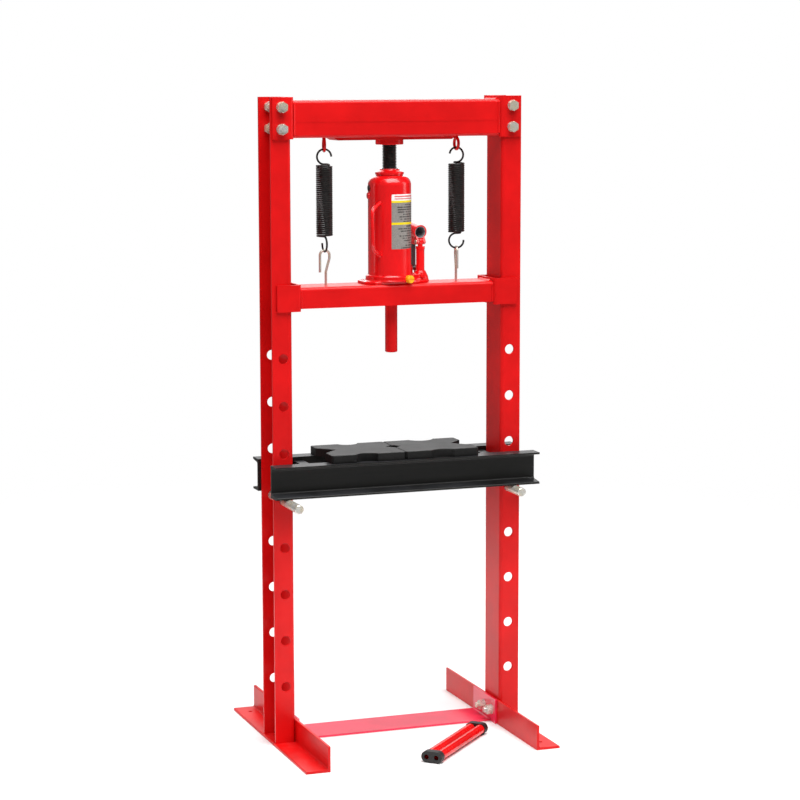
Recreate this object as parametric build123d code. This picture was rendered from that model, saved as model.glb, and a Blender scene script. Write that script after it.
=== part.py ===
"""H-frame bench press worked by a hydraulic hand pump (bottle jack).

Millimetres.  +Z up, X across the press, the press is worked from the -Y side.
The origin is on the floor, midway between the two uprights and midway along the feet.
"""
from build123d import *
import math
import os

os.makedirs("parts", exist_ok=True)
parts = {}

# ---------------------------------------------------------------- driving dimensions
# frame
HEIGHT = 1300.0          # floor to the top of the uprights
CLEAR_WIDTH = 446.0      # between the webs of the two uprights
CHANNEL_DEPTH = 84.0     # rolled channel used for the uprights and the slide beam
CHANNEL_FLANGE = 42.0
CHANNEL_WALL = 5.0
CHANNEL_BEND = 7.0       # outside bend radius
FOOT_LENGTH = 500.0
FOOT_LEG = 50.0
FOOT_WALL = 5.0
FOOT_LEG_HEIGHT = 51.0
PIN_HOLE_R = 10.0
PIN_HOLE_FIRST_Z = 121.0
PIN_HOLE_PITCH = 95.0
PIN_HOLE_COUNT = 8
PIN_HOLE_X = 242.0
ANCHOR_HOLE_R = 4.5
ANCHOR_X = 242.0
ANCHOR_Y = 212.0

# crown
CROWN_BOTTOM = 1220.0
CROWN_HEIGHT = 73.0
BRACKET_BOTTOM = 1218.0
BRACKET_WALL = 5.0
BRACKET_REACH = 262.0    # X of the bracket's flange ends
BOLT_X = 243.5
CROWN_BOLT_Z = (1237.6, 1280.3)
SOCKET_R = 28.0
SOCKET_BORE_R = 18.0
SOCKET_BOTTOM = 1204.0

# M12 fasteners
M12_R = 6.0
M12_HOLE_R = 6.5
M12_ACROSS_FLATS = 19.0
BRACE_ACROSS_FLATS = 18.0
M12_HEAD = 7.5
M12_NUT = 10.0
M12_WASHER_R = 10.6
M12_WASHER = 2.5

# slide beam, guides and press rod
SLIDE_TOP = 926.3
SLIDE_HALF = 205.0       # half the beam's length, to the guides' webs
GUIDE_BOTTOM = 879.3
GUIDE_TOP = 932.3
GUIDE_REACH = 255.5
GUIDE_PLAY = 1.0         # each side of an upright
ROD_R = 12.5
ROD_END_Z = 786.0

# return springs
SPRING_X = 141.0
SPRING_OUTER_R = 16.9
WIRE_R = 1.8
COIL_TOP = 1165.8
COIL_BOTTOM = 1024.0
COIL_TURNS = 38
EYE_R = 11.5
EYE_ROD_R = 3.0
EYE_Z = 1204.5
EYE_TURNS = (-12.0, 0.0)  # the two rings are welded on at slightly different angles
HOOK_ROD_R = 2.5
HOOK_BEND_R = 9.9
HOOK_TOP = 998.4

# bottle jack
JACK_X = -2.4
JACK_Y = 2.0
TANK_R = 43.5
TANK_WALL = 3.5
TANK_BOTTOM = 944.0
SHOULDER_Z = 1123.2
SHOULDER_R = 19.5
TANK_NECK_R = 27.0
TANK_TOP = 1144.0
FILLER_Z = 1117.5
NUT_R = 28.8
NUT_TOP = 1155.0
CASTING_R = 48.5
RAM_R = 18.0
RAM_TOP = 1156.5
RAM_BOTTOM = 962.0
CYLINDER_IN_R = 18.8
CYLINDER_OUT_R = 23.0
SCREW_R = 14.4
SCREW_PITCH = 3.1
SCREW_TOP = 1213.6
SCREW_BOTTOM = 1070.0
PUMP_X = 62.8            # plunger axis
PUMP_Y = 0.0
PUMP_TURN = 5.2          # the lever's plane, turned from the Y axis
PUMP_R = 8.5
PUMP_TOP = 998.5
BOSS_R = 16.7
BOSS_TOP = 950.0
LEVER_Z = 1008.0         # both pins of the pump lever
LEVER_ARM = 33.0         # plunger pin to link pin
LINK_BOTTOM_Z = 953.0
HANDLE_SOCKET_Z = 1027.0
HANDLE_SOCKET_R = 14.25
HANDLE_BORE_R = 10.6
HANDLE_SOCKET_LENGTH = 38.0
HANDLE_SOCKET_PITCH = 6.0
VALVE_X = 24.5
VALVE_Y = -43.5
VALVE_Z = 936.0
VALVE_TURN = 14.0

# bed
BED_LEFT = -271.0
BED_RIGHT = 295.0
BED_BOTTOM = 509.5
BED_HEIGHT = 65.2
BED_FLANGE = 35.0
BED_WALL = 5.5
BED_PLAY = 1.0
BED_PIN_R = 9.0
BED_PIN_Z = 500.2
BED_PIN_LENGTH = 225.0
BED_PIN_FRONT = {"left": -139.0, "right": -111.0}
PLATE_THICKNESS = 16.4
PLATE_SEAM_X = 6.0
PLATE_LENGTH = 157.0
PLATE_HALF_DEPTH = 71.0

# pump handle, in two tubes held side by side
TUBE_R = 10.0
TUBE_BORE_R = 8.5
TUBE_GAP = 1.0
HANDLE_LENGTH = 243.0
HANDLE_NEAR = (-13.0, -261.0)
HANDLE_BEARING = 45.6    # degrees from +X
CAP_WALL = 1.6
CAP_DEPTH = 16.0

HALF = CLEAR_WIDTH / 2
HALF_DEPTH = CHANNEL_DEPTH / 2
FOOT_INNER = HALF - FOOT_WALL
RIGHT, LEFT = 1, -1


# ---------------------------------------------------------------- shared shapes
def box(x0, x1, y0, y1, z0, z1):
    """Box between two opposite corners."""
    size = Box(x1 - x0, y1 - y0, z1 - z0, align=(Align.MIN, Align.MIN, Align.MIN))
    return Pos(x0, y0, z0) * size


def rod_z(x, y, r, z0, z1):
    return Pos(x, y, z0) * Cylinder(r, z1 - z0, align=(Align.CENTER, Align.CENTER, Align.MIN))


def rod_y(x, z, r, y0, y1):
    turned = Rot(-90, 0, 0) * Cylinder(r, y1 - y0, align=(Align.CENTER, Align.CENTER, Align.MIN))
    return Pos(x, y0, z) * turned


def rod_x(y, z, r, x0, x1):
    turned = Rot(0, 90, 0) * Cylinder(r, x1 - x0, align=(Align.CENTER, Align.CENTER, Align.MIN))
    return Pos(x0, y, z) * turned


def mirrored(shape, side):
    """The right-hand shape, or its mirror image on the left."""
    return shape if side == RIGHT else mirror(shape, Plane.YZ)


def channel_section(depth, flange, wall, bend):
    """Channel with its web on the local Y axis and its flanges towards +X."""
    outer = Pos(flange / 2, 0) * Rectangle(flange, depth)
    inner = Pos(wall + flange / 2, 0) * Rectangle(flange, depth - 2 * wall)
    section = outer - inner
    near = section.vertices().filter_by(lambda v: abs(v.X) < 0.01)
    section = fillet(near, bend)
    root = section.vertices().filter_by(lambda v: abs(v.X - wall) < 0.01)
    return fillet(root, bend - wall)


def bracket_section(inner_half, wall, web_x, reach, bend):
    """U-shaped strap: web at web_x, flanges to reach, inside faces at +-inner_half."""
    depth = 2 * (inner_half + wall)
    return Pos(web_x, 0) * channel_section(depth, reach - web_x, wall, bend)


def hexagon_y(x, z, across, y0, y1, turn=0.0):
    """Hexagonal prism along Y with its faces chamfered to a circle at both ends."""
    corner = across / math.sqrt(3)
    flat = Plane((x, y0, z), x_dir=(1, 0, 0), z_dir=(0, 1, 0))
    prism = extrude(flat * Rot(0, 0, turn) * RegularPolygon(corner, 6), y1 - y0)
    bevel = 0.9
    round_part = rod_y(x, z, corner, y0, y1)
    ends = round_part.edges().filter_by(GeomType.CIRCLE)
    return prism & chamfer(ends, bevel)


def tube_along(path_wire, r):
    """Round rod along a wire."""
    start = path_wire @ 0
    direction = path_wire % 0
    return sweep(Plane(start, z_dir=direction) * Circle(r), path_wire)


# ---------------------------------------------------------------- uprights
def upright():
    section = Pos(HALF, 0) * channel_section(CHANNEL_DEPTH, CHANNEL_FLANGE, CHANNEL_WALL, CHANNEL_BEND)
    body = Pos(0, 0, FOOT_WALL) * extrude(section, HEIGHT - FOOT_WALL)
    for i in range(PIN_HOLE_COUNT):
        z = PIN_HOLE_FIRST_Z + i * PIN_HOLE_PITCH
        body -= rod_y(PIN_HOLE_X, z, PIN_HOLE_R, -50, 50)
    for z in CROWN_BOLT_Z:
        body -= rod_y(BOLT_X, z, M12_HOLE_R, -50, 50)
    for y in BRACE_BOLT_Y:
        body -= rod_x(y, BRACE_BOLT_Z, M12_HOLE_R, HALF - 10, HALF + 10)
    return body


# ---------------------------------------------------------------- feet and cross brace
BRACE_BOLT_Y = (-20.0, 20.0)
BRACE_BOLT_Z = 26.7
BRACE_WALL = 4.0
BRACE_FRONT = -14.0
BRACE_REAR = 80.0
TAB_FRONT = -40.0
TAB_TOP = 51.8
BRACE_BOLT_END = 196.0


def foot():
    """Angle iron on the floor, drilled for one anchor: one leg upright inside, the other flat."""
    inner = FOOT_INNER
    outer = inner + FOOT_LEG
    half = FOOT_LENGTH / 2
    flat = box(inner, outer, -half, half, 0, FOOT_WALL)
    standing = box(inner, inner + FOOT_WALL, -half, half, 0, FOOT_LEG_HEIGHT)
    body = flat + standing
    root = body.edges().filter_by(Axis.Y).filter_by(
        lambda e: abs(e.center().X - inner - FOOT_WALL) < 0.1 and abs(e.center().Z - FOOT_WALL) < 0.1)
    body = fillet(root, 4.0)
    toes = body.edges().filter_by(Axis.Y).filter_by(
        lambda e: (abs(e.center().X - outer) < 0.1 and abs(e.center().Z - FOOT_WALL) < 0.1)
        or (abs(e.center().X - inner - FOOT_WALL) < 0.1 and abs(e.center().Z - FOOT_LEG_HEIGHT) < 0.1))
    body = fillet(toes, 2.0)
    seat = box(inner + FOOT_WALL, outer + 1, -HALF_DEPTH - 0.5, HALF_DEPTH + 0.5, FOOT_WALL, 60)
    body -= seat
    body -= rod_z(ANCHOR_X, -ANCHOR_Y, ANCHOR_HOLE_R, -1, FOOT_WALL + 1)
    for y in BRACE_BOLT_Y:
        body -= rod_x(y, BRACE_BOLT_Z, M12_HOLE_R, inner - 2, inner + FOOT_WALL + 2)
    return body


def cross_brace():
    """Flat strap on the floor with a wider tab turned up at each end."""
    end = FOOT_INNER
    body = box(-end, end, BRACE_FRONT, BRACE_REAR, 0, BRACE_WALL)
    for side in (LEFT, RIGHT):
        tab = box(end - BRACE_WALL, end, TAB_FRONT, BRACE_REAR, 0, TAB_TOP)
        for y in BRACE_BOLT_Y:
            tab -= rod_x(y, BRACE_BOLT_Z, M12_HOLE_R, end - 10, end + 10)
        body += mirrored(tab, side)
    bends = body.edges().filter_by(Axis.Y).filter_by(
        lambda e: abs(abs(e.center().X) - end + BRACE_WALL) < 0.1 and abs(e.center().Z - BRACE_WALL) < 0.1)
    body = fillet(bends, 3.0)
    corners = body.edges().filter_by(Axis.Y).filter_by(
        lambda e: abs(abs(e.center().X) - end) < 0.1 and abs(e.center().Z) < 0.1)
    return fillet(corners, 3.0)


def brace_bolt(y):
    """Head inside the upright's channel, thread towards the middle of the press."""
    web_face = HALF + CHANNEL_WALL
    shank = rod_x(y, BRACE_BOLT_Z, M12_R, BRACE_BOLT_END, web_face)
    head = Rot(0, 0, 90) * hexagon_y(y, BRACE_BOLT_Z, BRACE_ACROSS_FLATS, -web_face - M12_HEAD, -web_face, 30)
    return shank + head


def brace_nut(y):
    face = FOOT_INNER - BRACE_WALL
    washer = rod_x(y, BRACE_BOLT_Z, M12_WASHER_R, face - M12_WASHER, face)
    nut = Rot(0, 0, 90) * hexagon_y(y, BRACE_BOLT_Z, BRACE_ACROSS_FLATS,
                                    -face + M12_WASHER, -face + M12_WASHER + M12_NUT)
    bore = rod_x(y, BRACE_BOLT_Z, M12_R, face - 30, face + 5)
    return (washer + nut) - bore


# ---------------------------------------------------------------- crown
SEAM_Z = (1250.6, 1256.5)
STIFFENER = (131.0, 120.0, 28.0, 6.0)   # half length at the top, at the bottom, half depth, thickness


def crown_beam():
    """Box beam: two pressed channels welded toe to toe."""
    centre_z = CROWN_BOTTOM + CROWN_HEIGHT / 2
    face = RectangleRounded(CHANNEL_DEPTH, CROWN_HEIGHT, 6.0) - RectangleRounded(
        CHANNEL_DEPTH - 2 * CHANNEL_WALL, CROWN_HEIGHT - 2 * CHANNEL_WALL, 2.0)
    end = HALF - 0.5 - BRACKET_WALL
    flat = Plane((-end, 0, centre_z), x_dir=(0, 1, 0), z_dir=(1, 0, 0))
    return extrude(flat * face, 2 * end)


def crown_bracket():
    section = bracket_section(HALF_DEPTH, BRACKET_WALL, HALF - 0.5 - BRACKET_WALL, BRACKET_REACH, 8.0)
    body = Pos(0, 0, BRACKET_BOTTOM) * extrude(section, HEIGHT - BRACKET_BOTTOM)
    for z in CROWN_BOLT_Z:
        body -= rod_y(BOLT_X, z, M12_HOLE_R, -60, 60)
    return body


def weld_beads(end, low, high, top):
    """Fillet beads where a beam's faces meet the U straps at its ends, without touching the straps' bends."""
    beads = []
    y = HALF_DEPTH
    outline = Polyline((end - 4, y), (end - 0.02, y), (end + 0.4, y + 2), (end - 1, y + 2.4),
                       (end - 3, y + 1.4), close=True)
    upright_bead = Pos(0, 0, low) * extrude(make_face(outline), high - low)
    flat = Plane((0, -28, 0), x_dir=(1, 0, 0), z_dir=(0, -1, 0))
    corner = make_face(Polyline((end - 4, top), (end, top), (end, top + 2.8), (end - 1.6, top + 2), close=True))
    for side in (LEFT, RIGHT):
        beads.append(mirrored(upright_bead, side))
        beads.append(mirror(mirrored(upright_bead, side), Plane.XZ))
        beads.append(mirrored(extrude(flat * corner, -56), side))
    return beads


def crown_welds():
    """Beads at the brackets and the ground seam along the beam's front and back."""
    end = HALF - 0.5 - BRACKET_WALL
    top = CROWN_BOTTOM + CROWN_HEIGHT
    beads = weld_beads(end, CROWN_BOTTOM + 6, top - 6, top)
    low, high = SEAM_Z
    for y in (-HALF_DEPTH - 0.5, HALF_DEPTH):
        beads.append(box(-end + 5, end - 5, y, y + 0.5, low, high))
    return beads


def stiffener():
    top, bottom, half_depth, thick = STIFFENER
    outline = Polyline((-top, CROWN_BOTTOM), (top, CROWN_BOTTOM), (bottom, CROWN_BOTTOM - thick),
                       (-bottom, CROWN_BOTTOM - thick), close=True)
    flat = Plane((0, -half_depth, 0), x_dir=(1, 0, 0), z_dir=(0, -1, 0))
    return extrude(flat * make_face(outline), -2 * half_depth)


def jack_head_socket():
    top = CROWN_BOTTOM - STIFFENER[3]
    ring = rod_z(JACK_X, JACK_Y, SOCKET_R, SOCKET_BOTTOM, top)
    ring = chamfer(ring.edges().filter_by(GeomType.CIRCLE).sort_by(Axis.Z)[:1], 1.0)
    return ring - rod_z(JACK_X, JACK_Y, SOCKET_BORE_R, SOCKET_BOTTOM - 1, top + 1)


def spring_eye(side, turn):
    """Closed ring welded under the crown beam; its plane faces across the press."""
    ring = Rot(0, 0, turn) * Rot(0, 90, 0) * Torus(EYE_R, EYE_ROD_R)
    neck = Cylinder(EYE_ROD_R + 0.6, CROWN_BOTTOM - EYE_Z - EYE_R,
                    align=(Align.CENTER, Align.CENTER, Align.MIN))
    return Pos(side * SPRING_X, 0, EYE_Z) * (ring + Pos(0, 0, EYE_R) * neck)


def crown_bolt(side, facing, z, nut_outside):
    """M12 screw along Y through one bracket flange and one upright flange."""
    outside = HALF_DEPTH + BRACKET_WALL
    inside = HALF_DEPTH - CHANNEL_WALL
    x = side * BOLT_X
    if nut_outside:
        shank = rod_y(x, z, M12_R, -outside - M12_WASHER - M12_NUT - 2.5, -inside)
        head = hexagon_y(x, z, M12_ACROSS_FLATS, -inside, -inside + M12_HEAD, 30)
    else:
        shank = rod_y(x, z, M12_R, -outside - M12_WASHER, -inside + M12_NUT + 3.0)
        head = hexagon_y(x, z, M12_ACROSS_FLATS, -outside - M12_WASHER - M12_HEAD, -outside - M12_WASHER, 30)
    bolt = shank + head
    return bolt if facing < 0 else mirror(bolt, Plane.XZ)


def crown_nut(side, facing, z, nut_outside):
    outside = HALF_DEPTH + BRACKET_WALL + M12_WASHER
    inside = HALF_DEPTH - CHANNEL_WALL
    x = side * BOLT_X
    start = -outside - M12_NUT if nut_outside else -inside
    nut = hexagon_y(x, z, M12_ACROSS_FLATS, start, start + M12_NUT, 30) - rod_y(x, z, M12_R, -80, 0)
    return nut if facing < 0 else mirror(nut, Plane.XZ)


def crown_washer(side, facing, z):
    outside = HALF_DEPTH + BRACKET_WALL
    x = side * BOLT_X
    washer = rod_y(x, z, M12_WASHER_R, -outside - M12_WASHER, -outside) - rod_y(x, z, M12_R, -80, 0)
    return washer if facing < 0 else mirror(washer, Plane.XZ)


# ---------------------------------------------------------------- return springs
LOOP_R = SPRING_OUTER_R - WIRE_R
TOP_LOOP_Z = COIL_TOP + LOOP_R + 2.1
LOW_LOOP_Z = COIL_BOTTOM - LOOP_R - 2.3
TOP_LOOP_TURN = {LEFT: 0.0, RIGHT: -45.0}
LOW_LOOP_TURN = {LEFT: 90.0, RIGHT: -30.0}


def coil_body():
    """Close-wound coil as one turned solid: a bead of wire for every turn."""
    pitch = (COIL_TOP - COIL_BOTTOM) / COIL_TURNS
    inner = SPRING_OUTER_R - 2 * WIRE_R
    rim = SPRING_OUTER_R - WIRE_R * 0.5
    edges = []
    for i in range(COIL_TURNS):
        z = COIL_BOTTOM + i * pitch
        middle = (SPRING_OUTER_R, z + pitch / 2)
        edges.append(ThreePointArc((rim, z), middle, (rim, z + pitch)))
    edges.append(Line((rim, COIL_TOP), (inner, COIL_TOP)))
    edges.append(Line((inner, COIL_TOP), (inner, COIL_BOTTOM)))
    edges.append(Line((inner, COIL_BOTTOM), (rim, COIL_BOTTOM)))
    return revolve(Plane.XZ * make_face(edges), Axis.Z, 360)


def end_loop(centre_z, start, swept, turn, coil_end, toward):
    """Loop of wire in an upright plane, with the wire led to it from the coil's rim."""
    flat = Plane((0, 0, centre_z), x_dir=(1, 0, 0), z_dir=(0, -1, 0))
    loop = tube_along(flat * CenterArc((0, 0), LOOP_R, start, swept), WIRE_R)
    lo, hi = sorted((0.0, toward * LOOP_R))
    lead = rod_x(0, coil_end, WIRE_R, lo, hi)
    return Rot(0, 0, turn) * (loop + lead)


def spring(side):
    """Close-wound extension spring with a three-quarter loop at each end."""
    sweep_top = -270 if side == LEFT else 262
    toward = 1 if side == LEFT else -1
    top = end_loop(TOP_LOOP_Z, -90, sweep_top, TOP_LOOP_TURN[side], COIL_TOP + 0.6, toward)
    low = end_loop(LOW_LOOP_Z, 90, 275, LOW_LOOP_TURN[side], COIL_BOTTOM - 0.6, 1)
    return Pos(side * SPRING_X, 0, 0) * (coil_body() + top + low)


def spring_hook(side):
    """Shepherd's crook: threaded stem through the slide beam, bent over at the top."""
    centre_z = HOOK_TOP - HOOK_ROD_R - HOOK_BEND_R
    stem_z = SLIDE_TOP - CHANNEL_WALL - 10.0
    with_lean = FilletPolyline((2.2, 0, stem_z), (2.2, 0, centre_z - 33), (HOOK_BEND_R, 0, centre_z - 6),
                               (HOOK_BEND_R, 0, centre_z), radius=12)
    bend = ThreePointArc((HOOK_BEND_R, 0, centre_z), (0, 0, centre_z + HOOK_BEND_R),
                         (-HOOK_BEND_R, 0, centre_z))
    tip = Line((-HOOK_BEND_R, 0, centre_z), (-HOOK_BEND_R, 0, centre_z - 34))
    path = Wire(with_lean.edges() + bend.edges() + tip.edges())
    hook = tube_along(path, HOOK_ROD_R)
    turn = 0 if side == LEFT else 80
    return Pos(side * SPRING_X, 0, 0) * Rot(0, 0, turn) * hook


def hook_stem(side):
    """X and Y of the stem of a spring hook."""
    turn = math.radians(0 if side == LEFT else 80)
    return side * SPRING_X + 2.2 * math.cos(turn), 2.2 * math.sin(turn)


# ---------------------------------------------------------------- slide beam
def slide_beam():
    section = channel_section(CHANNEL_DEPTH, CHANNEL_FLANGE, CHANNEL_WALL, CHANNEL_BEND)
    flat = Plane((-SLIDE_HALF, 0, SLIDE_TOP), x_dir=(0, 0, -1), z_dir=(1, 0, 0))
    body = extrude(flat * section, 2 * SLIDE_HALF)
    for side in (LEFT, RIGHT):
        x, y = hook_stem(side)
        body -= rod_z(x, y, HOOK_ROD_R, SLIDE_TOP - 20, SLIDE_TOP + 5)
    return body


def slide_guide():
    section = bracket_section(HALF_DEPTH + GUIDE_PLAY, BRACKET_WALL, SLIDE_HALF, GUIDE_REACH, 7.0)
    return Pos(0, 0, GUIDE_BOTTOM) * extrude(section, GUIDE_TOP - GUIDE_BOTTOM)


def slide_welds():
    return weld_beads(SLIDE_HALF, SLIDE_TOP - CHANNEL_FLANGE + 1, SLIDE_TOP - 7, SLIDE_TOP)


def press_rod():
    body = rod_z(0, 0, ROD_R, ROD_END_Z, SLIDE_TOP - CHANNEL_WALL)
    return chamfer(body.edges().filter_by(GeomType.CIRCLE).sort_by(Axis.Z)[:1], 1.5)


def hook_nut(side):
    x, y = hook_stem(side)
    top = SLIDE_TOP - CHANNEL_WALL
    nut = extrude(Pos(x, y, top - 5) * RegularPolygon(10 / math.sqrt(3), 6), 5)
    return nut - rod_z(x, y, HOOK_ROD_R, top - 10, top + 5)


# ---------------------------------------------------------------- bottle jack
JACK = Pos(JACK_X, JACK_Y, 0)
PUMP = Pos(PUMP_X, PUMP_Y, 0) * Rot(0, 0, PUMP_TURN)      # on the plunger's axis, link behind
VALVE = Pos(VALVE_X, VALVE_Y, 0) * Rot(0, 0, VALVE_TURN)  # on the knob, its own -Y outwards
BASE_PLATE_TOP = SLIDE_TOP + 6.0


def revolved(points):
    """Solid of revolution about Z from (radius, z) points."""
    face = Plane.XZ * make_face(Polyline(*points, close=True))
    return revolve(face, Axis.Z, 360)


def jack_base():
    """Cast base: sole plate, round seat for the tank, and the pump, link and valve bosses."""
    z0, z1, z2 = SLIDE_TOP, BASE_PLATE_TOP, TANK_BOTTOM
    sole = Polyline((-63, -20), (-46, -37), (46, -37), (70, -18), (80, -5), (80, 14), (74, 43),
                    (-46, 43), (-63, 26), close=True)
    plate = Pos(0, 0, z0) * extrude(make_face(sole), z1 - z0)
    plate = fillet(plate.edges().filter_by(Axis.Z), 4.0)
    plate = fillet(plate.edges().group_by(Axis.Z)[-1], 2.0)
    seat = revolved([(0, z1 - 1), (CASTING_R + 2, z1 - 1), (CASTING_R, z1 + 3), (CASTING_R, z2 - 3),
                     (CASTING_R - 3, z2), (0, z2)])
    boss = revolved([(0, z1 - 1), (BOSS_R, z1 - 1), (BOSS_R - 1, z2 - 6), (10.0, BOSS_TOP), (0, BOSS_TOP)])
    web = box(-30, 0, -12, 12, z1 - 1, z2 - 1)
    lug = box(-8.5, 8.5, LEVER_ARM - 7, LEVER_ARM + 6, z1 - 1, LINK_BOTTOM_Z)
    lug += rod_x(LEVER_ARM - 0.2, LINK_BOTTOM_Z, 5.8, -8.5, 8.5)
    lug -= box(-3.5, 3.5, LEVER_ARM - 10, LEVER_ARM + 10, z1 + 10, LINK_BOTTOM_Z + 10)
    valve_boss = rod_y(0, VALVE_Z, 7.9, 6.0, 24.0)
    body = plate + JACK * seat + PUMP * boss + PUMP * web + PUMP * lug + VALVE * valve_boss
    body -= JACK * rod_z(0, 0, RAM_R, z2 - 6, z2 + 20)
    body -= JACK * rod_z(0, 0, 2.0, z1 + 6, z2)
    body -= PUMP * rod_z(0, 0, PUMP_R - 1.5, z1 + 5, BOSS_TOP + 10)
    body -= PUMP * rod_x(0, z1 + 8, 2.0, -64, 0)
    body -= PUMP * rod_x(LEVER_ARM, LINK_BOTTOM_Z, 3.0, -20, 20)
    body -= PUMP * rod_y(-3.0, VALVE_Z + 4, 4.0, -30, -9)
    body -= VALVE * rod_y(0, VALVE_Z, 8.3, -12, 5.4)
    return body - VALVE * rod_y(0, VALVE_Z, 4.06, -5, 25)


def shoulder_height(r, arc_r):
    """Height of the tank's rounded shoulder at a radius, for its outside or inside arc."""
    across = r - (TANK_R - SHOULDER_R)
    return SHOULDER_Z + math.sqrt(arc_r * arc_r - across * across)


def jack_tank():
    """Oil tank: a drawn shell with a rounded shoulder, open at the foot."""
    centre = (TANK_R - SHOULDER_R, SHOULDER_Z)
    in_r = TANK_R - TANK_WALL
    in_arc = SHOULDER_R - TANK_WALL
    mouth = CYLINDER_OUT_R
    neck_z = shoulder_height(TANK_NECK_R, SHOULDER_R)
    lip_z = shoulder_height(mouth, in_arc)
    neck_angle = math.degrees(math.atan2(neck_z - SHOULDER_Z, TANK_NECK_R - centre[0]))
    lip_angle = math.degrees(math.atan2(lip_z - SHOULDER_Z, mouth - centre[0]))
    edges = [
        Line((in_r, TANK_BOTTOM), (TANK_R, TANK_BOTTOM)),
        Line((TANK_R, TANK_BOTTOM), (TANK_R, SHOULDER_Z)),
        CenterArc(centre, SHOULDER_R, 0, neck_angle),
        Line((TANK_NECK_R, neck_z), (TANK_NECK_R, TANK_TOP)),
        Line((TANK_NECK_R, TANK_TOP), (mouth, TANK_TOP)),
        Line((mouth, TANK_TOP), (mouth, lip_z)),
        CenterArc(centre, in_arc, 0, lip_angle),
        Line((in_r, SHOULDER_Z), (in_r, TANK_BOTTOM)),
    ]
    shell = revolve(Plane.XZ * make_face(edges), Axis.Z, 360)
    return JACK * shell - on_tank(180.0) * rod_x(0, FILLER_Z, 4.5, TANK_R - 10, TANK_R + 10)


def on_tank(angle):
    """Frame on the jack's axis whose +X points along the given bearing, in degrees."""
    return JACK * Rot(0, 0, angle)


def filler_plug():
    plug = rod_x(0, FILLER_Z, 4.5, TANK_R - TANK_WALL - 3, TANK_R)
    rim = rod_x(0, FILLER_Z, 5.6, TANK_R - 0.4, TANK_R + 1.8) - rod_z(0, 0, TANK_R, 1090, 1140)
    return on_tank(180.0) * (plug + rim)


def level_plug():
    """Round plug below the filler, screwed into the tank's wall."""
    boss = rod_x(0, FILLER_Z - 15.0, 6.5, TANK_R - 1, TANK_R + 3.4) - rod_z(0, 0, TANK_R, 1080, 1116)
    boss = fillet(boss.edges().filter_by(GeomType.CIRCLE).sort_by(Axis.X)[-1:], 1.2)
    return on_tank(178.0) * boss


def carry_handle():
    """Bent rod welded to the tank's wall; the grip stands clear and slopes in towards its foot."""
    path = FilletPolyline((TANK_R - 1.5, 0, 1089), (79, 0, 1075.5), (66, 0, 997), (TANK_R - 1.5, 0, 983.0),
                          radius=9)
    rod = tube_along(path, 3.4)
    body = rod - rod_z(0, 0, TANK_R, 970, 1100)
    return on_tank(224.0) * body


def tank_label():
    """Thin plate wrapped round the front right of the tank."""
    ring = rod_z(0, 0, TANK_R + 0.4, 996.5, 1106.5) - rod_z(0, 0, TANK_R, 990, 1110)
    start, sweep_angle, reach = -104.7, 99.0, 90.0
    corners = [(0, 0)]
    for i in range(4):
        a = math.radians(start + sweep_angle * i / 3)
        corners.append((reach * math.cos(a), reach * math.sin(a)))
    wedge = Pos(0, 0, 990) * extrude(make_face(Polyline(*corners, close=True)), 130)
    return JACK * (ring & wedge)


def jack_cylinder():
    body = rod_z(0, 0, CYLINDER_OUT_R, TANK_BOTTOM, TANK_TOP) - rod_z(0, 0, CYLINDER_IN_R, 900, 1200)
    return JACK * body


def jack_top_nut():
    """Gland nut that holds the tank down on the cylinder and guides the ram."""
    bore = RAM_R + 0.08
    return JACK * revolved([(bore, TANK_TOP), (NUT_R - 1, TANK_TOP), (NUT_R, TANK_TOP + 1),
                            (NUT_R, TANK_TOP + 5), (NUT_R - 1.5, TANK_TOP + 6), (21.0, NUT_TOP - 2),
                            (19.5, NUT_TOP), (bore, NUT_TOP)])


def gland_seal():
    """Rubber ring round the ram under the gland nut."""
    ring = rod_z(0, 0, CYLINDER_IN_R, TANK_TOP - 8, TANK_TOP - 3)
    return JACK * (ring - rod_z(0, 0, RAM_R + 0.05, 1100, 1200))


def jack_ram():
    body = rod_z(0, 0, RAM_R, RAM_BOTTOM, RAM_TOP)
    body = chamfer(body.edges().filter_by(GeomType.CIRCLE).sort_by(Axis.Z)[-1:], 1.0)
    body -= rod_z(0, 0, SCREW_R + 0.08, 1012, RAM_TOP + 1)
    body -= rod_z(0, 0, 5.9, RAM_BOTTOM - 1, RAM_BOTTOM + 14)
    return JACK * body


def ram_seal():
    cup = rod_z(0, 0, CYLINDER_IN_R - 0.05, RAM_BOTTOM - 9, RAM_BOTTOM)
    cup -= rod_z(0, 0, 13.0, RAM_BOTTOM - 10, RAM_BOTTOM - 4)
    stud = rod_z(0, 0, 5.9, RAM_BOTTOM - 4, RAM_BOTTOM + 12)
    return JACK * (cup + stud)


def extension_screw():
    """Coarse screw with a plain head that seats in the crown socket."""
    depth = 1.5
    turns = int((SOCKET_BOTTOM + 2 - SCREW_BOTTOM) / SCREW_PITCH)
    points = [(0, SCREW_BOTTOM), (SCREW_R - depth, SCREW_BOTTOM)]
    for i in range(turns):
        z = SCREW_BOTTOM + i * SCREW_PITCH
        points += [(SCREW_R - depth, z + 0.5), (SCREW_R, z + 1.3), (SCREW_R, z + 2.2),
                   (SCREW_R - depth, z + 3.0)]
    points += [(SCREW_R - depth, SOCKET_BOTTOM + 3), (15.0, SOCKET_BOTTOM + 4), (15.0, SCREW_TOP - 1),
               (14.0, SCREW_TOP), (0, SCREW_TOP)]
    return JACK * revolved(points)


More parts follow.
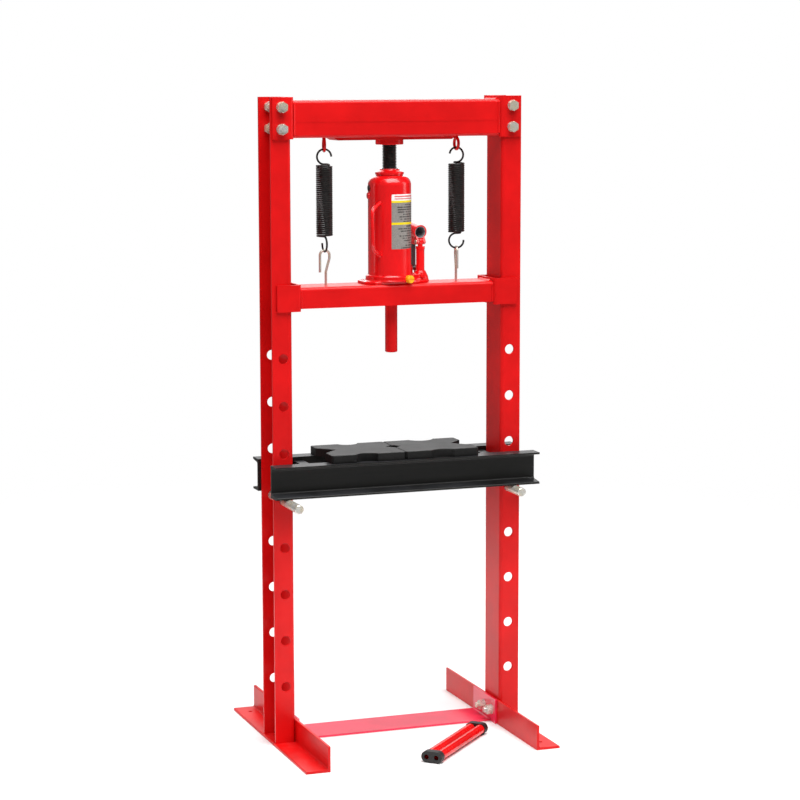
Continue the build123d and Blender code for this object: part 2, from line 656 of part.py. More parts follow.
# ---------------------------------------------------------------- hand pump on the jack
def pump_cylinder():
    """Pump barrel screwed into the base, with a collar at its mouth."""
    barrel = rod_z(0, 0, PUMP_R - 1.5, BASE_PLATE_TOP + 5, BOSS_TOP + 1)
    barrel += rod_z(0, 0, PUMP_R, BOSS_TOP, PUMP_TOP - 6)
    barrel += rod_z(0, 0, PUMP_R + 0.7, PUMP_TOP - 6, PUMP_TOP)
    return PUMP * (barrel - rod_z(0, 0, 5.06, BASE_PLATE_TOP + 9, PUMP_TOP + 1))


def pump_plunger():
    """Plunger with a flat eye; the pin works in a slot because the lever swings on an arc."""
    stem = rod_z(0, 0, 5.0, 962, LEVER_Z - 5.0)
    eye = box(-4.0, 4.0, -6.4, 8.4, LEVER_Z - 6.3, LEVER_Z + 6.3)
    eye = fillet(eye.edges().filter_by(Axis.X), 5.0)
    play = 3.45
    slot = box(-5, 5, 0, 2.9, LEVER_Z - play, LEVER_Z + play)
    slot += rod_x(0, LEVER_Z, play, -5, 5) + rod_x(2.9, LEVER_Z, play, -5, 5)
    return PUMP * ((stem + eye) - slot)


def plunger_seal():
    return PUMP * (rod_z(0, 0, 5.03, 957.5, 961.9) - rod_z(0, 0, 2.0, 950, 960))


def pump_link():
    """The flat link that carries the lever's fulcrum."""
    bar = box(-3.2, 3.2, LEVER_ARM - 4.5, LEVER_ARM + 4.5, LINK_BOTTOM_Z, LEVER_Z)
    for z in (LINK_BOTTOM_Z, LEVER_Z):
        bar += rod_x(LEVER_ARM, z, 5.2, -3.2, 3.2)
    for z in (LINK_BOTTOM_Z, LEVER_Z):
        bar -= rod_x(LEVER_ARM, z, 3.0, -4, 4)
    return PUMP * bar


def link_pins():
    """Fulcrum pin through the link and the lever, and the lower pin through the base's ears."""
    pins = []
    for z, half in ((LEVER_Z, 9.8), (LINK_BOTTOM_Z, 8.7)):
        pin = rod_x(LEVER_ARM, z, 3.0, -half - 1.2, half + 1.2)
        for x in (-half - 1.2, half):
            pin += rod_x(LEVER_ARM, z, 4.4, x, x + 1.2)
        pins.append(PUMP * pin)
    return pins


def handle_socket():
    """Pump lever: a tube for the handle over two cheeks that carry the pins."""
    tilt = Pos(0, 0, HANDLE_SOCKET_Z) * Rot(HANDLE_SOCKET_PITCH, 0, 0)
    tube = tilt * rod_y(0, 0, HANDLE_SOCKET_R, 0, HANDLE_SOCKET_LENGTH)
    outline = Polyline((-6, LEVER_Z - 1), (-4, LEVER_Z - 5), (0, LEVER_Z - 6), (LEVER_ARM, LEVER_Z - 6),
                       (LEVER_ARM + 5, LEVER_Z - 4), (LEVER_ARM + 6, LEVER_Z + 1), (LEVER_ARM + 4, LEVER_Z + 18),
                       (2.5, LEVER_Z + 15), close=True)
    side = Plane((-9.5, 0, 0), x_dir=(0, 1, 0), z_dir=(1, 0, 0))
    cheeks = extrude(side * make_face(outline), 19)
    cheeks -= tilt * rod_y(0, 0, HANDLE_BORE_R + 0.8, -12, 0)
    body = tube + cheeks
    body -= tilt * rod_y(0, 0, HANDLE_BORE_R, -1, HANDLE_SOCKET_LENGTH - 4)
    body -= box(-5, 5, -12, LEVER_ARM + 12, LEVER_Z - 8, LEVER_Z + 7.0)
    body -= rod_x(0, LEVER_Z, 3.0, -20, 20)
    body -= rod_x(LEVER_ARM, LEVER_Z, 3.05, -20, 20)
    return PUMP * body


def socket_pin():
    pin = rod_x(0, LEVER_Z, 3.0, -10.5, 10.5)
    for x in (-11.0, 9.5):
        pin += rod_x(0, LEVER_Z, 4.0, x, x + 1.5)
    return PUMP * pin


def release_valve():
    """Release screw: spindle in the base and a fluted knob with a slot for the handle's end."""
    knob = rod_y(0, VALVE_Z, 7.8, -5, 5)
    knob = fillet(knob.edges().filter_by(GeomType.CIRCLE).sort_by(Axis.Y)[:1], 1.5)
    for i in range(12):
        a = math.radians(30 * i + 15)
        knob -= rod_y(8.4 * math.cos(a), VALVE_Z + 8.4 * math.sin(a), 1.2, -7, 3)
    knob -= box(-9, 9, -7, -3.4, VALVE_Z - 1.0, VALVE_Z + 1.0)
    return VALVE * (knob + rod_y(0, VALVE_Z, 4.0, 4, 22))


def overload_valve():
    """Slotted plug over the overload valve, in the front of the pump boss."""
    z = VALVE_Z + 4
    plug = rod_y(-3.0, z, 4.0, -19.5, -9)
    return PUMP * (plug - box(-8, 2, -20, -18.3, z - 0.7, z + 0.7))


def valve_balls():
    """Suction and delivery check balls, and the release ball at the end of the spindle."""
    balls = [PUMP * Pos(x, 0, BASE_PLATE_TOP + 8) * Sphere(1.9) for x in (-20, -38)]
    return balls + [VALVE * Pos(0, 23.0, VALVE_Z) * Sphere(0.9)]


# ---------------------------------------------------------------- bed
BED_FACE = HALF_DEPTH + BED_PLAY
SPACER_OFFSET = 197.0


def bed_channel(facing):
    """Rolled channel with tapered flanges; web against the uprights, flanges outwards."""
    h, b, w = BED_HEIGHT, BED_FLANGE, BED_WALL
    root, toe = 7.5, 4.2
    pts = [(0, 0), (b, 0), (b, toe), (w, root), (w, h - root), (b, h - toe), (b, h), (0, h)]
    face = make_face(Polyline(*pts, close=True))
    roots = face.vertices().filter_by(lambda v: abs(v.X - w) < 0.01)
    face = fillet(roots, 5.0)
    toes = face.vertices().filter_by(lambda v: abs(v.X - b) < 0.01 and 1 < v.Y < h - 1)
    face = fillet(toes, 2.5)
    flat = Plane((BED_LEFT, -BED_FACE, BED_BOTTOM), x_dir=(0, -1, 0), z_dir=(-1, 0, 0))
    body = extrude(flat * face, -(BED_RIGHT - BED_LEFT))
    return body if facing < 0 else mirror(body, Plane.XZ)


def bed_spacer(side):
    """Block welded between the two channels, just inside an upright."""
    x = (BED_LEFT + BED_RIGHT) / 2 + side * SPACER_OFFSET
    z0 = BED_BOTTOM + 8
    block = box(x - 10, x + 10, -BED_FACE, BED_FACE, z0, z0 + BED_HEIGHT - 16)
    return block - box(x - 6, x + 6, -BED_FACE, BED_FACE, z0 + 4, z0 + BED_HEIGHT - 20)


def bed_pin(side):
    name = "left" if side == LEFT else "right"
    front = BED_PIN_FRONT[name]
    pin = rod_y(side * PIN_HOLE_X, BED_PIN_Z, BED_PIN_R, front, front + BED_PIN_LENGTH)
    return chamfer(pin.edges().filter_by(GeomType.CIRCLE), 1.5)


def arc_notch(x, y, chord, depth):
    """Round bite out of a plate's edge, as a cylinder whose arc has this chord and depth."""
    r = (chord * chord / 4 + depth * depth) / (2 * depth)
    inward = -1 if y > 0 else 1
    return rod_z(x, y + inward * (depth - r), r, 500, 700)


def arbor_plate(side):
    """Slotted plate: V in the outer end, half of a diamond at the seam, a round bite in each long side."""
    z0 = BED_BOTTOM + BED_HEIGHT + 0.3
    x0 = PLATE_SEAM_X + side * 0.6
    x1 = PLATE_SEAM_X + side * PLATE_LENGTH
    lo, hi = min(x0, x1), max(x0, x1)
    body = box(lo, hi, -PLATE_HALF_DEPTH, PLATE_HALF_DEPTH, z0, z0 + PLATE_THICKNESS)
    body = chamfer(body.edges().filter_by(Axis.Z), 3.0)
    vee = make_face(Polyline((x1 + side * 3, 3 + 36), (x1 - side * 31, 3), (x1 + side * 3, 3 - 36), close=True))
    small = make_face(Polyline((x0 - side * 1, 5 + 16), (x0 + side * 15, 5), (x0 - side * 1, 5 - 16), close=True))
    for outline in (vee, small):
        body -= Pos(0, 0, 500) * extrude(outline, 200)
    if side == LEFT:
        body -= arc_notch(-77, -PLATE_HALF_DEPTH, 46, 13.5)
        body -= arc_notch(-71, PLATE_HALF_DEPTH, 42, 16)
    else:
        body -= arc_notch(86, -PLATE_HALF_DEPTH, 48, 9)
        body -= arc_notch(90, PLATE_HALF_DEPTH, 52, 17)
    rims = body.edges().group_by(Axis.Z)[-1]
    return chamfer(rims, 0.8)


# ---------------------------------------------------------------- pump handle on the floor
HANDLE = Pos(HANDLE_NEAR[0], HANDLE_NEAR[1], 0) * Rot(0, 0, HANDLE_BEARING)
HANDLE_Z = TUBE_R + CAP_WALL


def handle_tube(side):
    """One half of the pump handle, in a frame whose +X runs along the pair."""
    y = side * (TUBE_R + TUBE_GAP / 2)
    tube = rod_x(y, HANDLE_Z, TUBE_R, 3, HANDLE_LENGTH - 3)
    return HANDLE * (tube - rod_x(y, HANDLE_Z, TUBE_BORE_R, -5, HANDLE_LENGTH + 5))


def handle_cap(far):
    """Rubber holder that slips over the ends of both tubes."""
    offset = TUBE_R + TUBE_GAP / 2
    outer_r = TUBE_R + CAP_WALL
    flat = Plane((0, 0, HANDLE_Z), x_dir=(0, 1, 0), z_dir=(1, 0, 0))
    body = extrude(flat * SlotCenterToCenter(2 * offset, 2 * outer_r), CAP_DEPTH)
    body = fillet(body.edges().group_by(Axis.X)[0], 1.3)
    for y in (-offset, offset):
        body -= rod_x(y, HANDLE_Z, TUBE_R + 0.05, 2.95, CAP_DEPTH + 1)
        body -= rod_x(y, HANDLE_Z, 5.0, -1, 5)
    if far:
        body = Pos(HANDLE_LENGTH, 0, 0) * Rot(0, 0, 180) * body
    return HANDLE * body


# ---------------------------------------------------------------- the whole press
def build_frame():
    for side, name in ((LEFT, "left"), (RIGHT, "right")):
        parts[name + "_upright"] = [mirrored(upright(), side)]
        parts[name + "_foot"] = [Rot(0, 0, 0 if side == RIGHT else 180) * foot()]
        parts[name + "_crown_bracket"] = [mirrored(crown_bracket(), side)]
    parts["crown_beam"] = [crown_beam()]
    parts["crown_welds"] = crown_welds()
    parts["crown_stiffener"] = [stiffener()]
    parts["jack_head_socket"] = [jack_head_socket()]
    parts["spring_eyes"] = [spring_eye(s, t) for s, t in zip((LEFT, RIGHT), EYE_TURNS)]
    places = [(s, f, z, s == LEFT and f < 0) for s in (LEFT, RIGHT) for f in (-1, 1) for z in CROWN_BOLT_Z]
    parts["crown_bolts"] = [crown_bolt(*place) for place in places]
    parts["crown_nuts"] = [crown_nut(*place) for place in places]
    parts["crown_washers"] = [crown_washer(s, f, z) for s, f, z, _ in places]
    parts["cross_brace"] = [cross_brace()]
    parts["brace_bolts"] = [mirrored(brace_bolt(y), s) for s in (LEFT, RIGHT) for y in BRACE_BOLT_Y]
    parts["brace_nuts"] = [mirrored(brace_nut(y), s) for s in (LEFT, RIGHT) for y in BRACE_BOLT_Y]
    parts["left_spring"] = [spring(LEFT)]
    parts["right_spring"] = [spring(RIGHT)]


def build_carriage():
    parts["slide_beam"] = [slide_beam()]
    parts["left_slide_guide"] = [mirrored(slide_guide(), LEFT)]
    parts["right_slide_guide"] = [slide_guide()]
    parts["slide_welds"] = slide_welds()
    parts["press_rod"] = [press_rod()]
    parts["spring_hooks"] = [spring_hook(s) for s in (LEFT, RIGHT)]
    parts["spring_hook_nuts"] = [hook_nut(s) for s in (LEFT, RIGHT)]


def build_jack():
    parts["jack_base"] = [jack_base()]
    parts["jack_tank"] = [jack_tank()]
    parts["jack_cylinder"] = [jack_cylinder()]
    parts["jack_top_nut"] = [jack_top_nut()]
    parts["gland_seal"] = [gland_seal()]
    parts["filler_plug"] = [filler_plug()]
    parts["level_plug"] = [level_plug()]
    parts["carry_handle"] = [carry_handle()]
    parts["tank_label"] = [tank_label()]
    parts["jack_ram"] = [jack_ram()]
    parts["ram_seal"] = [ram_seal()]
    parts["extension_screw"] = [extension_screw()]
    parts["pump_cylinder"] = [pump_cylinder()]
    parts["pump_plunger"] = [pump_plunger()]
    parts["plunger_seal"] = [plunger_seal()]
    parts["pump_link"] = [pump_link()]
    parts["link_pins"] = link_pins()
    parts["handle_socket"] = [handle_socket()]
    parts["socket_pin"] = [socket_pin()]
    parts["release_valve"] = [release_valve()]
    parts["overload_valve"] = [overload_valve()]
    parts["valve_balls"] = valve_balls()


def build_bed():
    parts["front_bed_channel"] = [bed_channel(-1)]
    parts["rear_bed_channel"] = [bed_channel(1)]
    parts["bed_spacers"] = [bed_spacer(s) for s in (LEFT, RIGHT)]
    for side, name in ((LEFT, "left"), (RIGHT, "right")):
        parts[name + "_bed_pin"] = [bed_pin(side)]
        parts[name + "_arbor_plate"] = [arbor_plate(side)]


def build_handle():
    parts["rear_handle_tube"] = [handle_tube(RIGHT)]
    parts["front_handle_tube"] = [handle_tube(LEFT)]
    parts["near_handle_cap"] = [handle_cap(False)]
    parts["far_handle_cap"] = [handle_cap(True)]


build_frame()
build_carriage()
build_jack()
build_bed()
build_handle()

for node, shapes in parts.items():
    solids = [solid for shape in shapes for solid in shape.solids()]
    whole = solids[0] if len(solids) == 1 else Compound(children=solids)
    export_step(whole, f"parts/{node}.step")
    print(f"{node}: {len(solids)} solid(s)")
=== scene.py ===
"""Looks for an upright H-frame shop press with a bottle jack, laid out as an add-on and run as a script.

Lengths are metres, +Z is up and the press is worked from the -Y side.
"""

import math

import bpy
import numpy as np
from bpy.props import FloatProperty, FloatVectorProperty, PointerProperty
from mathutils import Matrix, Vector


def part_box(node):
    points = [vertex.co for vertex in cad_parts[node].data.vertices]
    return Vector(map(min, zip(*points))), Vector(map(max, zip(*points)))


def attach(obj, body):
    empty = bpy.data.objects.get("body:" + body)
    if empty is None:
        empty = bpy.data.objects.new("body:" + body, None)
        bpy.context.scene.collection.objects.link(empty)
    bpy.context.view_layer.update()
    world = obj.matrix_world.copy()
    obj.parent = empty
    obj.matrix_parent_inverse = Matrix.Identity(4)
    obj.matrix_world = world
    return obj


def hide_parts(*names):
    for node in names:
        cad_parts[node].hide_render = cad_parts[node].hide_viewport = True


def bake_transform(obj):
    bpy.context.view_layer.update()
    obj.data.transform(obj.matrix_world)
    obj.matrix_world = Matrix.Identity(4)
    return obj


bl_info = {
    "name": "Shop Press Finisher",
    "version": (1, 0, 0),
    "blender": (4, 5, 0),
    "location": "3D View > Sidebar > Shop Press",
    "description": "Builds and finishes the visible pieces of an upright shop press with a bottle jack",
    "category": "Object",
}

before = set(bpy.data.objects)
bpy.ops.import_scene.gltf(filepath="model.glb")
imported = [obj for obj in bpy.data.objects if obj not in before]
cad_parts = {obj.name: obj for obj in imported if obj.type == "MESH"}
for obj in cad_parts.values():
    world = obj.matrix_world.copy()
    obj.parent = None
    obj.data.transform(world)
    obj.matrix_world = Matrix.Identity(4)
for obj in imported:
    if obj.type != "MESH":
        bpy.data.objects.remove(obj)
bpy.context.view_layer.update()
MM = 0.001


# ---------------------------------------------------------------- sizes and colours a user would change
class PressSizes(bpy.types.PropertyGroup):
    """Sizes of the pieces that are built here."""

    spring_wire: FloatProperty(
        name="Spring wire", description="Radius of the return springs' wire",
        default=2.0 * MM, min=0.5 * MM, unit="LENGTH")
    spring_turns: FloatProperty(
        name="Spring turns", description="Number of close turns in each return spring",
        default=34.0, min=4.0)
    thread_pitch: FloatProperty(
        name="Thread pitch", description="Pitch of the extension screw's coarse thread",
        default=3.1 * MM, min=0.5 * MM, unit="LENGTH")
    thread_depth: FloatProperty(
        name="Thread depth", description="Depth of the extension screw's thread",
        default=2.0 * MM, min=0.1 * MM, unit="LENGTH")
    orange_peel: FloatProperty(
        name="Orange peel", description="Height of the ripple in the sprayed enamel",
        default=0.05 * MM, min=0.0, unit="LENGTH")


class PressColours(bpy.types.PropertyGroup):
    """Display colours of the finishes."""

    frame_red: FloatVectorProperty(
        name="Frame red", description="Enamel of the uprights, beams and feet",
        default=(0.860, 0.060, 0.066), min=0.0, max=1.0, size=3, subtype="COLOR_GAMMA")
    # The strap's red is pinker and bluer than the frame red: a painted reflection of the white room, as
    # seen at a grazing angle on the strap's top face.
    strap_red_and_painted_sheen: FloatVectorProperty(
        name="Strap red and painted sheen", description="Enamel of the strap between the feet",
        default=(0.97, 0.16, 0.32), min=0.0, max=1.0, size=3, subtype="COLOR_GAMMA")
    jack_red: FloatVectorProperty(
        name="Jack red", description="Wet-look enamel of the bottle jack",
        default=(0.93, 0.055, 0.075), min=0.0, max=1.0, size=3, subtype="COLOR_GAMMA")
    bed_black: FloatVectorProperty(
        name="Bed black", description="Enamel of the bed channels",
        default=(0.065, 0.063, 0.055), min=0.0, max=1.0, size=3, subtype="COLOR_GAMMA")
    plate_black: FloatVectorProperty(
        name="Plate black", description="Scale and paint on the arbor plates",
        default=(0.062, 0.060, 0.058), min=0.0, max=1.0, size=3, subtype="COLOR_GAMMA")
    zinc: FloatVectorProperty(
        name="Zinc", description="Bright plating of the fasteners, pins and hooks",
        default=(0.86, 0.855, 0.83), min=0.0, max=1.0, size=3, subtype="COLOR_GAMMA")
    knob_orange: FloatVectorProperty(
        name="Knob orange", description="Painted knob of the release screw",
        default=(0.99, 0.62, 0.05), min=0.0, max=1.0, size=3, subtype="COLOR_GAMMA")
    label_grey: FloatVectorProperty(
        name="Label grey", description="Body of the jack's label",
        default=(0.60, 0.58, 0.56), min=0.0, max=1.0, size=3, subtype="COLOR_GAMMA")
    label_yellow: FloatVectorProperty(
        name="Label yellow", description="Stripes of the jack's label",
        default=(0.97, 0.86, 0.05), min=0.0, max=1.0, size=3, subtype="COLOR_GAMMA")


def sizes():
    return bpy.context.scene.shop_press_sizes


def colours():
    return bpy.context.scene.shop_press_colours


def linear(display):
    """Scene-linear values of display colour values."""
    shown = np.asarray(display, float)
    low = shown / 12.92
    high = ((shown + 0.055) / 1.055) ** 2.4
    return tuple(float(v) for v in np.where(shown <= 0.04045, low, high))


def shade(display, factor):
    """The colour scaled in scene-linear light, as four values."""
    return tuple(min(1.0, v * factor) for v in linear(display)) + (1.0,)


# ---------------------------------------------------------------- shader maths as expressions
class Value:
    """A number that varies over a surface. Arithmetic on it adds Math nodes."""

    def __init__(self, finish, socket):
        self.finish = finish
        self.socket = socket

    def _math(self, operation, first, second=None):
        return self.finish.math(operation, first, second)

    def __add__(self, other):
        return self._math("ADD", self, other)

    def __radd__(self, other):
        return self._math("ADD", other, self)

    def __sub__(self, other):
        return self._math("SUBTRACT", self, other)

    def __rsub__(self, other):
        return self._math("SUBTRACT", other, self)

    def __mul__(self, other):
        return self._math("MULTIPLY", self, other)

    def __rmul__(self, other):
        return self._math("MULTIPLY", other, self)

    def __pow__(self, other):
        return self._math("POWER", self, other)

    def __gt__(self, other):
        return self._math("GREATER_THAN", self, other)

    def __lt__(self, other):
        return self._math("LESS_THAN", self, other)

    def __mod__(self, other):
        return self._math("FLOORED_MODULO", self, other)

    def __abs__(self):
        return self._math("ABSOLUTE", self)

    def floor(self):
        return self._math("FLOOR", self)

    def fade(self, start, end):
        """0 below start, 1 above end, smooth between; start may be above end."""
        node = self.finish.node("ShaderNodeMapRange", {"interpolation_type": "SMOOTHSTEP"}, {
            "Value": self, "From Min": start, "From Max": end, "To Min": 0.0, "To Max": 1.0})
        return Value(self.finish, node.outputs["Result"])


class Finish:
    """A node material, built from expressions."""

    def __init__(self, name):
        self.material = bpy.data.materials.new(name)
        self.material.use_nodes = True
        self.tree = self.material.node_tree
        self.tree.nodes.clear()
        self.shader = self.tree.nodes.new("ShaderNodeBsdfPrincipled")
        self.output = self.tree.nodes.new("ShaderNodeOutputMaterial")
        self.tree.links.new(self.shader.outputs["BSDF"], self.output.inputs["Surface"])
        self.place = self.node("ShaderNodeTexCoord").outputs["Object"]

    def connect(self, socket, value):
        if isinstance(value, Value):
            self.tree.links.new(value.socket, socket)
        elif isinstance(value, bpy.types.NodeSocket):
            self.tree.links.new(value, socket)
        else:
            socket.default_value = value

    def node(self, kind, settings=None, inputs=None):
        """Any node: its settings first, then the values or links of its sockets."""
        made = self.tree.nodes.new(kind)
        for key, value in (settings or {}).items():
            setattr(made, key, value)
        for key, value in (inputs or {}).items():
            self.connect(made.inputs[key], value)
        return made

    def math(self, operation, first, second=None):
        inputs = {0: first} if second is None else {0: first, 1: second}
        return Value(self, self.node("ShaderNodeMath", {"operation": operation}, inputs).outputs[0])

    def noise(self, scale, detail=3.0, roughness=0.5, vector=None):
        made = self.node("ShaderNodeTexNoise", None, {
            "Scale": scale, "Detail": detail, "Roughness": roughness, "Vector": vector or self.place})
        return Value(self, made.outputs["Fac"])

    def cells(self, scale, vector=None):
        """Distance to the nearest of a scatter of points."""
        made = self.node("ShaderNodeTexVoronoi", None, {"Scale": scale, "Vector": vector or self.place})
        return Value(self, made.outputs["Distance"])

    def stretched(self, across, along, axis):
        """Object coordinates scaled so that a noise draws out into streaks along one axis."""
        scale = [across, across, across]
        scale["XYZ".index(axis)] = along
        return self.node("ShaderNodeVectorMath", {"operation": "MULTIPLY"}, {
            0: self.place, 1: tuple(scale)}).outputs["Vector"]

    def axis(self, name, vector=None):
        made = self.node("ShaderNodeSeparateXYZ", None, {"Vector": vector or self.place})
        return Value(self, made.outputs[name])

    def mix(self, factor, first, second):
        made = self.node("ShaderNodeMix", {"data_type": "RGBA"}, {"Factor": factor, 6: first, 7: second})
        return made.outputs[2]

    def bump(self, height, distance, strength=1.0, below=None):
        inputs = {"Height": height, "Distance": distance, "Strength": strength}
        if below is not None:
            inputs["Normal"] = below
        return self.node("ShaderNodeBump", None, inputs).outputs["Normal"]

    def upward(self):
        """Height of the surface's own normal: 1 on a top face, 0 on an upright one."""
        return self.axis("Z", self.node("ShaderNodeTexCoord").outputs["Normal"])

    def set(self, **values):
        """Values or links for the shader's sockets, with spaces written as underscores."""
        for key, value in values.items():
            self.connect(self.shader.inputs[key.replace("_", " ")], value)
        return self.material


_finishes = {}


def finish(name):
    """The named material, made the first time it is asked for."""
    if name not in _finishes:
        _finishes[name] = FINISHES[name](Finish(name))
    return _finishes[name]


def enamel(made, display, roughness, peel, coat, dust, sheen=0.22, haze=0.08):
    """Sprayed enamel: cloudy colour, a fine ripple, softer gloss in patches and dust on top faces."""
    cloud = made.noise(9.0, 3.0, 0.55)
    fine = made.noise(160.0, 2.0, 0.5)
    base = made.mix(cloud.fade(0.35, 0.68), shade(display, 0.90), shade(display, 1.08))
    dusty = made.upward().fade(0.75, 0.97) * made.noise(55.0, 4.0, 0.65).fade(0.42, 0.72) * dust
    ripple = made.noise(420.0, 2.0, 0.45)
    long_wave = made.noise(38.0, 2.0, 0.5)
    normal = made.bump(ripple, peel, 0.55)
    normal = made.bump(long_wave, peel * 5.0, 0.35, below=normal)
    return made.set(
        Base_Color=made.mix(dusty, base, shade((0.93, 0.72, 0.70), 1.0)),
        Roughness=roughness + cloud * 0.08 + fine * 0.05 + dusty * 0.3,
        Normal=normal, Coat_Weight=coat, Coat_Roughness=haze, Specular_IOR_Level=sheen)


def frame_enamel(made):
    return enamel(made, colours().frame_red, 0.30, sizes().orange_peel, 0.10, 0.04)


def strap_enamel_painted_sheen(made):
    # The strap's base colour holds a painted sheen: its pink stands in for the white room's reflection on
    # the top face.
    return enamel(made, colours().strap_red_and_painted_sheen, 0.24, sizes().orange_peel * 0.5, 0.6, 0.0, 0.4)


def jack_enamel(made):
    return enamel(made, colours().jack_red, 0.24, sizes().orange_peel * 0.5, 0.9, 0.0, 0.2, 0.16)


def tube_enamel(made):
    return enamel(made, colours().frame_red, 0.20, sizes().orange_peel * 0.5, 0.35, 0.0)


def cast_enamel(made):
    """Enamel over a sand casting: lumps and pits of the sand show through the gloss."""
    display = colours().jack_red
    lumps = made.noise(120.0, 4.0, 0.6)
    pits = made.cells(420.0).fade(0.0, 0.25)
    cloud = made.noise(14.0, 3.0, 0.55)
    normal = made.bump(lumps, 0.45 * MM, 0.7)
    normal = made.bump(pits, 0.12 * MM, 0.5, below=normal)
    return made.set(
        Base_Color=made.mix(cloud.fade(0.35, 0.7), shade(display, 0.88), shade(display, 1.05)),
        Roughness=0.20 + lumps * 0.12, Normal=normal, Coat_Weight=0.7, Coat_Roughness=0.1,
        Specular_IOR_Level=0.2)


def bed_enamel(made):
    """Thin black enamel over hot-rolled channel: faint streaks along the bar and rolled texture."""
    display = colours().bed_black
    streaks = made.noise(3.0, 4.0, 0.6, made.stretched(40.0, 2.0, "X"))
    grain = made.noise(260.0, 3.0, 0.6)
    cloud = made.noise(12.0, 3.0, 0.5)
    base = made.mix(streaks.fade(0.3, 0.75), shade(display, 0.75), shade(display, 1.35))
    dusty = made.upward().fade(0.7, 0.95) * cloud.fade(0.3, 0.7)
    normal = made.bump(grain, 0.10 * MM, 0.5)
    return made.set(
        Base_Color=made.mix(dusty * 0.10, base, shade((0.55, 0.56, 0.60), 1.0)),
        Roughness=0.34 + streaks * 0.12 + grain * 0.08,
        Normal=made.bump(streaks, 0.25 * MM, 0.25, below=normal), Coat_Weight=0.05, Coat_Roughness=0.2,
        Specular_IOR_Level=0.35)


def plate_scale(made):
    """Painted mill scale on flame-cut plate: blotches, a pitted top and drag lines down the cut edges."""
    display = colours().plate_black
    blotch = made.noise(26.0, 5.0, 0.62)
    pits = made.cells(210.0).fade(0.02, 0.32)
    drag = made.noise(3.0, 3.0, 0.6, made.stretched(260.0, 9.0, "Z"))
    edge = 1.0 - abs(made.upward()).fade(0.3, 0.7)
    base = made.mix(blotch.fade(0.3, 0.72), shade(display, 0.7), shade(display, 1.8))
    rubbed = made.noise(48.0, 4.0, 0.7).fade(0.60, 0.74) * 0.35
    normal = made.bump(pits, 0.25 * MM, 0.5)
    return made.set(
        Base_Color=made.mix(rubbed, base, shade((0.28, 0.28, 0.29), 1.0)),
        Roughness=0.44 + blotch * 0.16, Metallic=rubbed * 0.4,
        Normal=made.bump(drag * edge, 0.7 * MM, 0.8, below=normal), Coat_Weight=0.04,
        Specular_IOR_Level=0.3)


def zinc_plate(made):
    """Bright zinc: fine turning lines, patchy gloss and a faint straw and blue tint."""
    display = colours().zinc
    tint = made.noise(60.0, 3.0, 0.6)
    scratch = made.noise(5.0, 4.0, 0.65, made.stretched(500.0, 60.0, "Y"))
    straw = made.mix(tint.fade(0.35, 0.65), shade(display, 1.0), shade((0.86, 0.82, 0.72), 1.0))
    blue = made.mix(made.noise(90.0).fade(0.55, 0.75) * 0.5, straw, shade((0.70, 0.74, 0.80), 1.0))
    return made.set(
        Base_Color=blue, Metallic=0.55, Roughness=0.20 + scratch * 0.14,
        Normal=made.bump(scratch, 0.03 * MM, 0.6))


def spring_black(made):
    """Oiled black oxide: deep grey with a slightly mottled sheen."""
    mottle = made.noise(180.0, 3.0, 0.6)
    return made.set(
        Base_Color=made.mix(
            mottle.fade(0.3, 0.7), shade((0.10, 0.10, 0.10), 1.0), shade((0.17, 0.165, 0.16), 1.0)),
        Metallic=0.4, Roughness=0.34 + mottle * 0.14, Normal=made.bump(mottle, 0.05 * MM, 0.5))


def screw_black(made):
    """Black oxide on a cut thread, with grease in the roots and a rubbed crest."""
    grease = made.noise(140.0, 4.0, 0.6)
    return made.set(
        Base_Color=made.mix(
            grease.fade(0.4, 0.7), shade((0.09, 0.075, 0.07), 1.0), shade((0.19, 0.165, 0.15), 1.0)),
        Metallic=0.35, Roughness=0.32 + grease * 0.2, Normal=made.bump(grease, 0.08 * MM, 0.5))


def ground_steel(made):
    """Ground and polished bar, with the grinder's rings across it."""
    rings = made.noise(4.0, 3.0, 0.6, made.stretched(8.0, 900.0, "Z"))
    return made.set(
        Base_Color=made.mix(rings, shade((0.80, 0.80, 0.82), 1.0), shade((0.90, 0.90, 0.91), 1.0)),
        Metallic=1.0, Roughness=0.12 + rings * 0.08, Normal=made.bump(rings, 0.01 * MM, 0.4))


def rolled_steel(made):
    """Plain rolled bar, a little oily."""
    cloud = made.noise(70.0, 4.0, 0.6)
    return made.set(
        Base_Color=made.mix(cloud, shade((0.34, 0.34, 0.35), 1.0), shade((0.55, 0.55, 0.56), 1.0)),
        Metallic=0.9, Roughness=0.30 + cloud * 0.2, Normal=made.bump(cloud, 0.08 * MM, 0.5))


def moulded_rubber(made):
    """Black moulded rubber with a leathery grain."""
    grain = made.cells(900.0)
    cloud = made.noise(40.0, 3.0, 0.5)
    return made.set(
        Base_Color=made.mix(
            cloud.fade(0.3, 0.7), shade((0.075, 0.075, 0.078), 1.0), shade((0.14, 0.14, 0.14), 1.0)),
        Roughness=0.48 + cloud * 0.14, Normal=made.bump(grain, 0.06 * MM, 0.5))


def knob_paint(made):
    """Orange paint, thinner and yellower where it has run off the crests."""
    run = made.noise(150.0, 3.0, 0.55)
    return made.set(
        Base_Color=made.mix(
            run.fade(0.35, 0.65), shade(colours().knob_orange, 1.0), shade((1.0, 0.76, 0.12), 1.0)),
        Roughness=0.28 + run * 0.14, Normal=made.bump(run, 0.12 * MM, 0.5))


